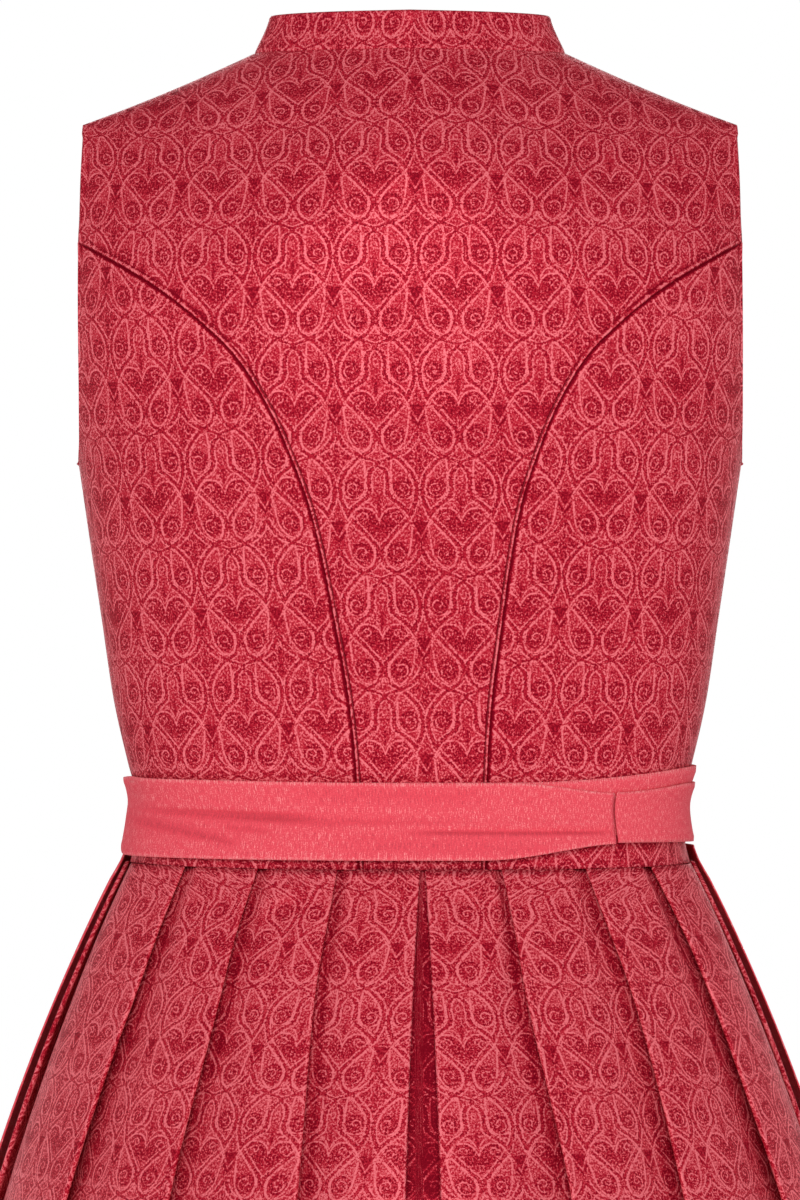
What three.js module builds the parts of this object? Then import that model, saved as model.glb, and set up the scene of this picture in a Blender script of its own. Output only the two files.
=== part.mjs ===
// A sleeveless high-necked dirndl with its apron, filled out as when it is worn, as a three.js scene graph.
// Millimetres, +Z up. The front faces -Y and the wearer's left is +X. The origin is between the shoulders,
// level with the middle of the shoulder seams, where the wearer holds the dress up.
import * as THREE from "three";

// Driving dimensions
const CLOTH = 1.2; // wall of the jacquard cloth of bodice and skirt
const APRON_CLOTH = 1.1; // wall of the plain apron cloth
const TIE_CLOTH = 1.0; // wall of the inner apron tie
const SEAM_GAP = 0.4; // between two pieces at a seam

const SHOULDER_TIP = { x: 163.5, z: -17.5 }; // outer end of the shoulder seam
const NECK_SIDE_X = 78; // where the shoulder seam meets the collar
const SHOULDER_RISE = 0.36; // of the shoulder seam, towards the neck
const SHOULDER_CURVE = 0.00065;
const SHOULDER_ROLL = 112; // height over which the cloth rolls over the shoulder
const NECK = { back: 16.7, front: -48, frontPower: 0.7 }; // heights of the collar seam
const COLLAR = { back: 20.2, side: 19.3, front: 20, lean: 0.1, cornerDrop: 4.2, thickness: 1.6, gap: 0.5 };
const COLLAR_ROWS = [0, 0.35, 0.7, 1]; // shares of the collar's height
const NECK_AXIS_Y = -10; // the collar leans towards this line
const UNDERARM_Z = -187.5;
const SEAM_TOP_Z = -78; // where the curved seams meet the armholes
const WAIST_SEAM = { side: -385.5, dip: 1.2 };

const SKIRT_LENGTH = 650;
const SKIRT_TOP = { width: 142.5, back: 95, front: 113 };
const SKIRT_FLARE = { width: 167, depth: 245, reach: 330 };
const PLEATS_PER_HALF = 10;
const PLEAT_CLOTH = 108; // cloth in one pleat, all round its folds
const MOST_OVERLAP = 0.79; // share of the way to the next fold, so that no more than three layers meet
const PLEAT_LAYER = 2.2; // from one folded layer to the next at the waist seam
// How much deeper the cloth lies behind a fold at the hem.
const PLEAT_DROP = { middle: 9, end: 15, power: 0.8 };
const PLEAT_TIP = 0.9; // roundness of a fold
// Where a pleat's face starts to fall to the next fold.
const PLEAT_FACE = { reach: 0.55, past: 1.2, depth: 0.22 };
const PLEAT_SETTLE = { depth: 1.1, from: 10, to: 80 }; // the faces stand out a little below the seam
const POINTS_PER_PLEAT = 8;
const SIDE_PLEAT = 4; // the pleat that hides the side seam
const SIDE_SEAM_POINT = 2 + POINTS_PER_PLEAT * SIDE_PLEAT + 2;
const SIDE_SEAM_INSET = 1.5; // from the hidden fold to the side seam

const APRON = { top: -377.6, bottom: -1008, edgeLeft: 92, edgeRight: -93, waves: 12, clear: 2.3 };
const APRON_FOLD = { top: 0.9, hem: 7.5, power: 0.7, onBody: 0.3 }; // depth of the gathers' folds
const APRON_SETTLE = { from: -393, to: -378.5 }; // between these the apron passes from the skirt to the band
const APRON_ROWS = [0, 5, 12, 24, 60, 130, 240, 380, 520]; // distances below its upper edge

// Bands round the waist. Their edges and their lift from the bodice change in steps between two angles.
const BAND = {
  start: -43.8,
  end: -265.6,
  lift: { start: 3.7, steps: [] },
  top: { start: -348.6, steps: [{ from: -43, to: -75, rise: 4.1 }] },
  bottom: { start: -375, steps: [{ from: -43, to: -120, rise: -1.6 }] },
};
const TIE_OVER = {
  start: -42.7,
  end: 139,
  lift: { start: 3.7, steps: [{ from: 80, to: 96, rise: 2.5 }, { from: 124, to: 139, rise: 3.8 }] },
  top: { start: -349, steps: [{ from: -43, to: -18, rise: 5 }, { from: 0, to: 70, rise: 1.8 }] },
  bottom: { start: -375.5, steps: [{ from: -43, to: -12, rise: -7.5 }, { from: 84, to: 104, rise: 7 }] },
};
const TIE_UNDER = {
  start: 98,
  end: -212,
  lift: { start: 1.8, steps: [] },
  top: { start: -344, steps: [{ from: -18, to: -80, rise: 7 }] },
  bottom: { start: -371, steps: [] },
};
const KNOT = { phi: 145.5, z: -361, width: 30, height: 37, depth: 13, inner: 7, clear: 1.4, around: 12 };
// The knot's sections: height in shares of its own, and size.
const KNOT_LEVELS = [
  { up: -0.5, size: 0.72 },
  { up: -0.32, size: 1 },
  { up: 0, size: 0.84 },
  { up: 0.32, size: 1 },
  { up: 0.5, size: 0.72 },
];
const TAIL = { width: 41, slant: 16, thickness: 1.1, gap: 0.6, pinched: 0.45, opensBy: 0.3, clear: 0.4 };
const TAIL_WAVE = { depth: 1.5, turns: 9, start: 0.3 };
// The hanging ends: the angles of their tops and bottoms, their length, and their lift from the apron.
const TAIL_INNER = { top: 146.5, bottom: 149, length: 300, lift: 0 };
const TAIL_OUTER = { top: 144.5, bottom: 142, length: 340, lift: 4.4 };

// Sections of the filled bodice from the neck down: half its width, and its depth behind and before
// the side seams.
const BODY = [
  { z: 60, width: 168, back: 60, front: 42 },
  { z: 20, width: 169, back: 70, front: 55 },
  { z: -18, width: 170, back: 86, front: 70 },
  { z: -50, width: 172.5, back: 97, front: 82 },
  { z: -105, width: 174, back: 107, front: 98 },
  { z: -155, width: 170.5, back: 107, front: 112 },
  { z: -187.5, width: 165.5, back: 104, front: 118 },
  { z: -225, width: 160, back: 99, front: 117 },
  { z: -265, width: 154, back: 93, front: 111 },
  { z: -305, width: 148, back: 88, front: 105 },
  { z: -338, width: 140.5, back: 85.5, front: 102.5 },
  { z: -358, width: 135.2, back: 84.5, front: 101.5 },
  { z: -376, width: 137.5, back: 89, front: 106 },
  { z: -392, width: 141.5, back: 93, front: 110 },
  { z: -410, width: 146, back: 98, front: 115 },
];
const ROUNDNESS = 2.2; // 2 is an ellipse, more is squarer
const BUST = { x: 76, z: -208, out: 21, across: 44, up: 52 };

// The curved seams of the back and of the front, from the waist up: half the distance between the pair.
const BACK_SEAM = [
  { z: -415.5, x: 30.6 },
  { z: -382.7, x: 31.2 },
  { z: -337, x: 32.7 },
  { z: -302.8, x: 35.6 },
  { z: -271.6, x: 40.4 },
  { z: -235.5, x: 46.4 },
  { z: -209.3, x: 52.1 },
  { z: -185.9, x: 60.1 },
  { z: -159.6, x: 71.5 },
  { z: -136, x: 86.8 },
  { z: -118.5, x: 104.7 },
  { z: -102.8, x: 124.3 },
  { z: -78, x: 161 },
];
const FRONT_SEAM = [
  { z: -420, x: 57 },
  { z: -386, x: 58 },
  { z: -300, x: 66 },
  { z: -240, x: 76 },
  { z: -200, x: 86 },
  { z: -150, x: 104 },
  { z: -110, x: 128 },
  { z: -78, x: 152 },
];
// The armhole's edges from the underarm up to the shoulder.
const ARMHOLE = [
  { z: -187.5, back: 165.5, front: 165.5 },
  { z: -185, back: 165.3, front: 165.1 },
  { z: -175, back: 164.7, front: 163.4 },
  { z: -140, back: 164.6, front: 156.5 },
  { z: -78, back: 164.8, front: 154.5 },
  { z: -50, back: 164.6, front: 157.5 },
  { z: -17.5, back: 163.5, front: 163.5 },
];
// Share of the panel's half width at each column: the sixth is the collar's end, the last the armhole.
const COLUMNS = [0, 0.1, 0.2, 0.3, 0.39, NECK_SIDE_X / SHOULDER_TIP.x, 0.6, 0.7, 0.8, 0.9, 1];
const NECK_COLUMN = 5;
const SEAM_ROWS = 12; // rows of the panels below the top of the curved seam
const YOKE_ROWS = 5; // rows between there and the shoulder
const SIDE_COLUMNS = 5;
// Heights of the side panels' rows at the side seam and then up the armhole.
const SIDE_SEAM_ROWS = 8;
const ARMHOLE_ROW_Z = [-185, -175, -140, SEAM_TOP_Z];

// Distances below the waist seam of the skirt's rows.
const SKIRT_ROWS = [0, 9, 28, 60, 105, 165, 250, 370, 510, SKIRT_LENGTH];
// The first folds beside the centre back, counted in even pleats from it: at the seam, and further down.
const FOLDS = {
  left: [
    { seam: 1.08, below: 0.99 },
    { seam: 2.14, below: 2.03 },
    { seam: 3.22, below: 3.17 },
    { seam: 4.9, below: 4.96 },
  ],
  right: [
    { seam: 1, below: 1.13 },
    { seam: 2.12, below: 2.15 },
    { seam: 3.17, below: 3.23 },
    { seam: 4.9, below: 4.96 },
  ],
};
const FOLDS_BELOW_AT = 152;
const CENTRE_OPENING = { seam: 1.2, more: 12, reach: 170 }; // half the gap between the two middle folds
// The back hangs a little to the wearer's right of the middle, fully so from the waist down.
const LEAN = { x: -6, from: -80, to: -385, depth: 80 };

const RED = new THREE.MeshStandardMaterial({ color: 0xc2364a, roughness: 0.55, metalness: 0 });
const CORAL = new THREE.MeshStandardMaterial({ color: 0xe85a68, roughness: 0.7, metalness: 0 });

const radians = THREE.MathUtils.degToRad;
const clamp = THREE.MathUtils.clamp;
const mix = THREE.MathUtils.lerp;
const smooth = (x, from, to) => {
  const t = clamp((x - from) / (to - from), 0, 1);
  return t * t * (3 - 2 * t);
};

// The value of one column of a table at a height, on a smooth curve through its rows.
function at(table, z, key) {
  const up = table[0].z < table[table.length - 1].z;
  const rows = up ? table : [...table].reverse();
  const last = rows.length - 1;
  const spot = clamp(z, rows[0].z, rows[last].z);
  let i = 0;
  while (i < last - 1 && rows[i + 1].z < spot) i += 1;
  const [a, b] = [rows[i], rows[i + 1]];
  const slope = (p, q) => (q[key] - p[key]) / (q.z - p.z);
  const here = slope(a, b);
  const before = i > 0 ? slope(rows[i - 1], a) : here;
  const after = i < last - 1 ? slope(b, rows[i + 2]) : here;
  const ease = (m, n) => (m * n <= 0 ? 0 : (2 * m * n) / (m + n));
  const [m0, m1] = [ease(before, here), ease(here, after)];
  const h = b.z - a.z;
  const t = (spot - a.z) / h;
  const rest = 1 - t;
  const ends = a[key] * rest * rest * (1 + 2 * t) + b[key] * t * t * (3 - 2 * t);
  return ends + h * (m0 * t * rest * rest - m1 * t * t * rest);
}

const shoulderZ = (x) => {
  const inward = SHOULDER_TIP.x - Math.abs(x);
  return SHOULDER_TIP.z + SHOULDER_RISE * inward + SHOULDER_CURVE * inward * inward;
};

// Depth of the cloth's outer face at (x, z), before or behind the side seams.
function depthAt(x, z, back) {
  const share = Math.min(1, Math.abs(x) / at(BODY, z, "width"));
  const section = (1 - share ** ROUNDNESS) ** (1 / ROUNDNESS);
  const fall = clamp((shoulderZ(x) - z) / SHOULDER_ROLL, 0, 1);
  const roll = Math.sqrt(1 - (1 - fall) ** 2);
  const full = at(BODY, z, back ? "back" : "front") * section * roll;
  if (back) return full;
  const cup = (side) =>
    Math.exp(-(((x - side * BUST.x) / BUST.across) ** 2) - ((z - BUST.z) / BUST.up) ** 2);
  return -(full + BUST.out * (cup(1) + cup(-1)) * smooth(section, 0, 0.6));
}

// A point of the bodice by its angle round the body: 0 is the centre back and +90 the wearer's left side.
function bodyPoint(degrees, z) {
  const phi = radians(degrees);
  const x = at(BODY, z, "width") * Math.sin(phi);
  return new THREE.Vector3(x, depthAt(x, z, Math.cos(phi) >= 0), z);
}

// The same point, moved out from the cloth.
function outFromBody(degrees, z, out) {
  const step = 0.5;
  const round = bodyPoint(degrees + step, z).sub(bodyPoint(degrees - step, z));
  const rise = bodyPoint(degrees, z + step).sub(bodyPoint(degrees, z - step));
  const normal = rise.cross(round).normalize();
  const point = bodyPoint(degrees, z);
  if (normal.x * point.x + normal.y * point.y < 0) normal.negate();
  return point.addScaledVector(normal, out);
}

// The cloth's outward normal at (x, z), away from the side seams.
function surfaceNormal(x, z, back) {
  const step = 0.5;
  const slopeX = (depthAt(x + step, z, back) - depthAt(x - step, z, back)) / (2 * step);
  const slopeZ = (depthAt(x, z + step, back) - depthAt(x, z - step, back)) / (2 * step);
  return new THREE.Vector3(-slopeX, 1, -slopeZ).normalize().multiplyScalar(back ? 1 : -1);
}

const waistSeamZ = (x) => {
  const share = Math.min(1, Math.abs(x) / SKIRT_TOP.width);
  return WAIST_SEAM.side - WAIST_SEAM.dip * (1 - share * share);
};

function neckZ(x, back) {
  const open = Math.max(0, 1 - (x / NECK_SIDE_X) ** 2);
  const sideZ = shoulderZ(NECK_SIDE_X);
  return back ? mix(sideZ, NECK.back, open) : mix(sideZ, NECK.front, open ** NECK.frontPower);
}

const panelTopZ = (x, back) => (Math.abs(x) < NECK_SIDE_X ? neckZ(x, back) : shoulderZ(x));

const edgeX = (z, back) => {
  if (z >= SEAM_TOP_Z) return at(ARMHOLE, z, back ? "back" : "front");
  return at(back ? BACK_SEAM : FRONT_SEAM, z, "x");
};

// The end of a panel's row: where the line that lies a share of the way up the panel meets its side edge.
function rowEnd(share, back) {
  let low = 20;
  let high = SHOULDER_TIP.x + 2;
  const height = (x) => mix(waistSeamZ(x), panelTopZ(x, back), share);
  for (let n = 0; n < 50; n += 1) {
    const x = (low + high) / 2;
    if (x < edgeX(height(x), back)) low = x;
    else high = x;
  }
  return { x: low, z: height(low) };
}

// The shares of the height at which the rows lie, with one row exactly where the seam meets the armhole.
function rowShares(back) {
  let low = 0;
  let high = 1;
  for (let n = 0; n < 50; n += 1) {
    const share = (low + high) / 2;
    if (rowEnd(share, back).z < SEAM_TOP_Z) low = share;
    else high = share;
  }
  const shares = [];
  for (let j = 0; j <= SEAM_ROWS; j += 1) shares.push((low * j) / SEAM_ROWS);
  for (let j = 1; j <= YOKE_ROWS; j += 1) shares.push(mix(low, 1, 1 - (1 - j / YOKE_ROWS) ** 2));
  return shares;
}

// A closed wall between two sheets of points, both [row][column].
function wall(face, lining) {
  const rows = face.length;
  const columns = face[0].length;
  const points = [...face.flat(), ...lining.flat()];
  const index = [];
  const id = (sheet, j, i) => (sheet * rows + j) * columns + i;
  const quad = (a, b, c, d) => index.push(a, b, c, a, c, d);
  for (let j = 0; j < rows - 1; j += 1) {
    for (let i = 0; i < columns - 1; i += 1) {
      quad(id(0, j, i), id(0, j, i + 1), id(0, j + 1, i + 1), id(0, j + 1, i));
      quad(id(1, j, i), id(1, j + 1, i), id(1, j + 1, i + 1), id(1, j, i + 1));
    }
  }
  for (let i = 0; i < columns - 1; i += 1) {
    quad(id(1, 0, i), id(1, 0, i + 1), id(0, 0, i + 1), id(0, 0, i));
    quad(id(0, rows - 1, i), id(0, rows - 1, i + 1), id(1, rows - 1, i + 1), id(1, rows - 1, i));
  }
  for (let j = 0; j < rows - 1; j += 1) {
    quad(id(0, j, 0), id(0, j + 1, 0), id(1, j + 1, 0), id(1, j, 0));
    const end = columns - 1;
    quad(id(1, j, end), id(1, j + 1, end), id(0, j + 1, end), id(0, j, end));
  }
  return closed(points, index);
}

const leaned = (p) => {
  const share = smooth(-p.z, -LEAN.from, -LEAN.to) * smooth(p.y, 0, LEAN.depth);
  return new THREE.Vector3(p.x + LEAN.x * share, p.y, p.z);
};

// A geometry from points and triangles, leaned, and turned so that its faces point out.
function closed(upright, index) {
  const points = upright.map(leaned);
  const corner = (k) => points[index[k]];
  let volume = 0;
  for (let k = 0; k < index.length; k += 3) {
    volume += corner(k).dot(corner(k + 1).clone().cross(corner(k + 2)));
  }
  if (volume < 0) {
    for (let k = 0; k < index.length; k += 3) [index[k + 1], index[k + 2]] = [index[k + 2], index[k + 1]];
  }
  return new THREE.BufferGeometry().setFromPoints(points).setIndex(index);
}

// The unit normals of a sheet of points, all on the side that faces away from the body's axis.
function sheetNormals(sheet) {
  const pick = (list, k) => list[clamp(k, 0, list.length - 1)];
  let facing = 0;
  const normals = sheet.map((row, j) =>
    row.map((point, i) => {
      const across = pick(row, i + 1).clone().sub(pick(row, i - 1));
      const up = pick(sheet, j + 1)[i].clone().sub(pick(sheet, j - 1)[i]);
      const normal = across.cross(up).normalize();
      facing += normal.x * point.x + normal.y * point.y;
      return normal;
    }),
  );
  return normals.map((row) => row.map((normal) => normal.multiplyScalar(Math.sign(facing))));
}

// A bodice panel's wall, kept on its own side of the side, shoulder and centre seams.
function panelOn(sheet, back, centreSide = 0) {
  const side = back ? 1 : -1;
  const normals = sheetNormals(sheet);
  const lining = sheet.map((row, j) =>
    row.map((point, i) => {
      const onEdge = i === 0 || i === row.length - 1;
      const curved = onEdge && Math.abs(point.x) < 0.94 * at(BODY, point.z, "width") && j <= SEAM_ROWS;
      const normal = curved ? surfaceNormal(point.x, point.z, back) : normals[j][i];
      const inner = point.clone().addScaledVector(normal, -CLOTH);
      if (centreSide) inner.x = centreSide * Math.max(SEAM_GAP / 2, centreSide * inner.x);
      if (j === 0) inner.z = point.z;
      return inner.setY(side * Math.max(SEAM_GAP / 2, side * inner.y));
    }),
  );
  return wall(sheet, lining);
}

// A wall whose outer face is the sheet moved out by one distance, with its inner face a thickness behind.
function clothOn(sheet, thickness, out = 0) {
  const normals = sheetNormals(sheet);
  const moved = (by) =>
    sheet.map((row, j) => row.map((point, i) => point.clone().addScaledVector(normals[j][i], by)));
  return wall(moved(out), moved(out - thickness));
}

// A wall like that, but with both faces at the same heights.
function standOn(sheet, thickness) {
  const normals = sheetNormals(sheet);
  const level = (normal) => normal.clone().setZ(0).normalize();
  const lining = sheet.map((row, j) =>
    row.map((point, i) => point.clone().addScaledVector(level(normals[j][i]), -thickness)),
  );
  return wall(sheet, lining);
}

const mirrored = (sheet) => sheet.map((row) => row.map((p) => new THREE.Vector3(-p.x, p.y, p.z)));

// Bodice panels

const backShares = rowShares(true);
const frontShares = rowShares(false);

// A row of a panel whose columns spread from the centre to its side edge, drawn back from the seam by a gap.
function panelRow(share, back, shares, gap, centreGap) {
  const end = rowEnd(share, back);
  const isSeam = share <= shares[SEAM_ROWS] + 1e-6;
  const reach = end.x - (isSeam ? gap : 0);
  const atShoulder = (i) => share === 1 && i >= NECK_COLUMN;
  return COLUMNS.map((column, i) => {
    const x = Math.max(centreGap, reach * column);
    const z = mix(waistSeamZ(x), panelTopZ(end.x * column, back), share);
    const y = atShoulder(i) ? ((back ? 1 : -1) * SEAM_GAP) / 2 : depthAt(x, z, back);
    return new THREE.Vector3(x, y, z);
  });
}

// How far sideways a panel's edge is drawn back so that it lies a gap away from a slanted seam.
function seamInset(share, back, gap) {
  const step = 0.01;
  const a = rowEnd(Math.max(0, share - step), back);
  const b = rowEnd(share + step, back);
  return gap * Math.hypot(1, (b.x - a.x) / (b.z - a.z));
}

function backCentreSheet() {
  return backShares.map((share) => {
    const half = panelRow(share, true, backShares, seamInset(share, true, SEAM_GAP / 2), 0);
    const other = half.slice(1).map((p) => new THREE.Vector3(-p.x, p.y, p.z));
    return [...other.reverse(), ...half];
  });
}

const frontLeftSheet = () =>
  frontShares.map((share) =>
    panelRow(share, false, frontShares, seamInset(share, false, SEAM_GAP / 2), SEAM_GAP / 2),
  );

// Where row j of a side panel meets the side seam, or the armhole's edge above the underarm.
function sideEnd(j, back) {
  if (j <= SIDE_SEAM_ROWS) return { degrees: 90, z: mix(WAIST_SEAM.side, UNDERARM_Z, j / SIDE_SEAM_ROWS) };
  const z = ARMHOLE_ROW_Z[j - SIDE_SEAM_ROWS - 1];
  const x = at(ARMHOLE, z, back ? "back" : "front");
  const turn = THREE.MathUtils.radToDeg(Math.asin(Math.min(1, x / at(BODY, z, "width"))));
  return { degrees: back ? turn : 180 - turn, z };
}

const sheetBase = (back) => rowEnd(0, back).x;

function sidePanelSheet(back) {
  const shares = back ? backShares : frontShares;
  const sheet = [];
  for (let j = 0; j <= SEAM_ROWS; j += 1) {
    const seam = rowEnd(shares[j], back);
    const inset = seamInset(shares[j], back, SEAM_GAP / 2);
    const turn = THREE.MathUtils.radToDeg(
      Math.asin(Math.min(1, (seam.x + inset) / at(BODY, seam.z, "width"))),
    );
    const from = { degrees: back ? turn : 180 - turn, z: seam.z };
    const to = sideEnd(j, back);
    const row = [];
    for (let i = 0; i <= SIDE_COLUMNS; i += 1) {
      const t = i / SIDE_COLUMNS;
      const degrees = mix(from.degrees, to.degrees, t);
      const waistX = at(BODY, WAIST_SEAM.side, "width") * Math.sin(radians(degrees));
      const bow = waistSeamZ(waistX) - mix(waistSeamZ(sheetBase(back)), WAIST_SEAM.side, t);
      const z = mix(from.z, to.z, t) + bow * (1 - j / SEAM_ROWS);
      const point = bodyPoint(degrees, z);
      if (i === SIDE_COLUMNS && to.degrees === 90) point.y = ((back ? 1 : -1) * SEAM_GAP) / 2;
      row.push(point);
    }
    sheet.push(row);
  }
  return sheet;
}

// Collar: a stand of one band round the neck, open at the centre front with rounded corners

function collarSheet() {
  const half = (back) =>
    COLUMNS.slice(0, NECK_COLUMN + 1).map((column) => {
      const x = column * SHOULDER_TIP.x;
      const seat = Math.max(x, back ? 0 : SEAM_GAP);
      return new THREE.Vector3(seat, depthAt(seat, neckZ(x, back), back), neckZ(x, back));
    });
  const backHalf = half(true);
  const frontHalf = half(false).reverse();
  const left = [...backHalf, ...frontHalf.slice(1)];
  const right = left.slice(1).map((p) => new THREE.Vector3(-p.x, p.y, p.z));
  const seam = [...right.reverse(), ...left];
  return COLLAR_ROWS.map((share) =>
    seam.map((p, i) => {
      const fromBack = Math.abs(i - (seam.length - 1) / 2) / ((seam.length - 1) / 2);
      const height =
        fromBack < 0.5
          ? mix(COLLAR.back, COLLAR.side, smooth(fromBack, 0.1, 0.5))
          : mix(COLLAR.side, COLLAR.front, smooth(fromBack, 0.5, 1));
      const atEnd = i === 0 || i === seam.length - 1;
      const corner = atEnd && share === 1 ? COLLAR.cornerDrop : 0;
      const lean = 1 - COLLAR.lean * Math.sin((share * Math.PI) / 2) * (0.6 + 0.4 * share);
      return new THREE.Vector3(
        Math.sign(p.x) * Math.max(SEAM_GAP, Math.abs(p.x) * lean),
        NECK_AXIS_Y + (p.y - NECK_AXIS_Y) * lean,
        p.z + COLLAR.gap + (height - corner) * share,
      );
    }),
  );
}

// Skirt

const skirtZ = (x, drop) => waistSeamZ(x) - SEAM_GAP - drop;

function skirtSection(drop) {
  const grow = 1 - Math.exp(-drop / SKIRT_FLARE.reach);
  return {
    width: SKIRT_TOP.width + SKIRT_FLARE.width * grow,
    back: SKIRT_TOP.back + SKIRT_FLARE.depth * grow,
    front: SKIRT_TOP.front + SKIRT_FLARE.depth * grow,
  };
}

// A point of the skirt's outer form by its angle, moved out along the section's normal.
function skirtPoint(section, degrees, out) {
  const phi = radians(degrees);
  const depth = Math.cos(phi) >= 0 ? section.back : section.front;
  const x = section.width * Math.sin(phi);
  const y = depth * Math.cos(phi);
  const normal = new THREE.Vector2(x / section.width ** 2, y / depth ** 2).normalize();
  return new THREE.Vector2(x + normal.x * out, y + normal.y * out);
}

// Angle against distance along the left half of a section, from the centre back to the centre front.
function arcTable(section) {
  const steps = 120;
  const table = [{ along: 0, degrees: 0 }];
  let before = skirtPoint(section, 0, 0);
  for (let n = 1; n <= steps; n += 1) {
    const degrees = (180 * n) / steps;
    const here = skirtPoint(section, degrees, 0);
    table.push({ along: table[n - 1].along + here.distanceTo(before), degrees });
    before = here;
  }
  return table;
}

function degreesAt(table, along) {
  let n = 1;
  while (n < table.length - 1 && table[n].along < along) n += 1;
  const [a, b] = [table[n - 1], table[n]];
  return mix(a.degrees, b.degrees, (along - a.along) / (b.along - a.along));
}

// How far one pleat's folds overlap, so that its cloth keeps its length when its back lies deeper.
function overlapOf(pitch, depth) {
  let low = 0;
  let high = PLEAT_CLOTH;
  const length = (overlap) => Math.hypot(pitch + overlap, depth) + Math.hypot(overlap, depth);
  for (let n = 0; n < 40; n += 1) {
    const overlap = (low + high) / 2;
    if (length(overlap) < PLEAT_CLOTH) low = overlap;
    else high = overlap;
  }
  return low;
}

const centreOpening = (drop) =>
  CENTRE_OPENING.seam + CENTRE_OPENING.more * (1 - Math.exp(-drop / CENTRE_OPENING.reach));

// Distance of fold k from the centre back, the folds past the tabled ones lying evenly.
function foldAt(k, drop, pitch, side) {
  if (k === 0) return centreOpening(drop);
  const tabled = FOLDS[side];
  const share = (row) => mix(row.seam, row.below, Math.min(1, drop / FOLDS_BELOW_AT));
  if (k <= tabled.length) return pitch * share(tabled[k - 1]);
  const last = share(tabled[tabled.length - 1]);
  return pitch * mix(last, PLEATS_PER_HALF, (k - tabled.length) / (PLEATS_PER_HALF - tabled.length));
}

// One half of one level of the skirt: distance along the form and depth behind it, from the centre back on.
function pleatPath(drop, halfLength, side) {
  const pitch = halfLength / PLEATS_PER_HALF;
  const down = drop / SKIRT_LENGTH;
  const layer = PLEAT_LAYER * (1 + down);
  const middle = 2 * layer + PLEAT_DROP.middle * down ** PLEAT_DROP.power;
  const end = 2 * layer + PLEAT_DROP.end * down ** PLEAT_DROP.power;
  const overlap = Math.min(overlapOf(pitch, end - layer), MOST_OVERLAP * pitch);
  const tip = PLEAT_TIP;
  const settle = PLEAT_SETTLE.depth * (1 - smooth(drop, PLEAT_SETTLE.from, PLEAT_SETTLE.to));
  const fold = (k) => foldAt(k, drop, pitch, side);
  const path = [
    { along: 0, depth: end + 0.5 },
    { along: (fold(0) + overlap) / 2, depth: end },
  ];
  for (let k = 0; k < PLEATS_PER_HALF; k += 1) {
    const edge = fold(k);
    const inside = edge + overlap;
    const face = Math.max(PLEAT_FACE.reach * (fold(k + 1) - edge), overlap + PLEAT_FACE.past);
    path.push(
      { along: inside - tip, depth: end },
      { along: inside, depth: end - layer / 2 },
      { along: inside - tip, depth: end - layer },
      { along: edge + tip, depth: layer },
      { along: edge, depth: layer / 2 },
      { along: edge + tip, depth: 0 },
      { along: edge + face, depth: middle * PLEAT_FACE.depth - settle },
      { along: fold(k + 1), depth: middle },
    );
  }
  path.pop();
  path.push({ along: halfLength, depth: middle * 0.1 });
  return path;
}

// Moves the points of an open line in plan sideways, keeping the wall's thickness round the folds.
function offsetLine(line, by) {
  return line.map((point, i) => {
    const a = line[Math.max(i - 1, 0)];
    const b = line[Math.min(i + 1, line.length - 1)];
    const before = i > 0 ? point.clone().sub(a).normalize() : b.clone().sub(point).normalize();
    const after = i < line.length - 1 ? b.clone().sub(point).normalize() : before.clone();
    const turn = before.clone().add(after).normalize();
    const normal = new THREE.Vector2(turn.y, -turn.x);
    const stretch = Math.min(1.5, 1 / Math.max(0.4, turn.dot(before)));
    return point.clone().addScaledVector(normal, by * stretch);
  });
}

// One level of the skirt as plan points from the centre back to the centre front, on one side.
function skirtHalfLine(drop, side) {
  const section = skirtSection(drop);
  const table = arcTable(section);
  const halfLength = table[table.length - 1].along;
  return pleatPath(drop, halfLength, side).map(({ along, depth }) => {
    const plan = skirtPoint(section, degreesAt(table, along), -depth - CLOTH / 2);
    return side === "left" ? plan : new THREE.Vector2(-plan.x, plan.y);
  });
}

// The part of a half line on one side of the hidden side seam, with the seam's own edge point.
function splitAtSideSeam(line, isBack) {
  const fold = line[SIDE_SEAM_POINT];
  const along = line[SIDE_SEAM_POINT + 1].clone().sub(fold).normalize();
  const beside = (distance) => fold.clone().addScaledVector(along, distance);
  if (isBack) return [...line.slice(0, SIDE_SEAM_POINT + 1), beside(SIDE_SEAM_INSET)];
  return [beside(SIDE_SEAM_INSET + 3 * SEAM_GAP), ...line.slice(SIDE_SEAM_POINT + 1)];
}

function skirtGeometry(isBack) {
  const faces = [];
  const linings = [];
  for (const drop of [...SKIRT_ROWS].reverse()) {
    const left = splitAtSideSeam(skirtHalfLine(drop, "left"), isBack);
    const right = splitAtSideSeam(skirtHalfLine(drop, "right"), isBack);
    const backLine = [...right.slice(1).reverse(), ...left];
    const line = isBack ? backLine : [...left, ...right.slice(0, -1).reverse()];
    const raise = (plan) => new THREE.Vector3(plan.x, plan.y, skirtZ(plan.x, drop));
    faces.push(offsetLine(line, CLOTH / 2).map(raise));
    linings.push(offsetLine(line, -CLOTH / 2).map(raise));
  }
  return wall(faces, linings);
}

// Apron

const apronDrop = (z) => WAIST_SEAM.side - WAIST_SEAM.dip - z;

const apronFold = (drop) => mix(APRON_FOLD.top, APRON_FOLD.hem, (drop / SKIRT_LENGTH) ** APRON_FOLD.power);

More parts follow.
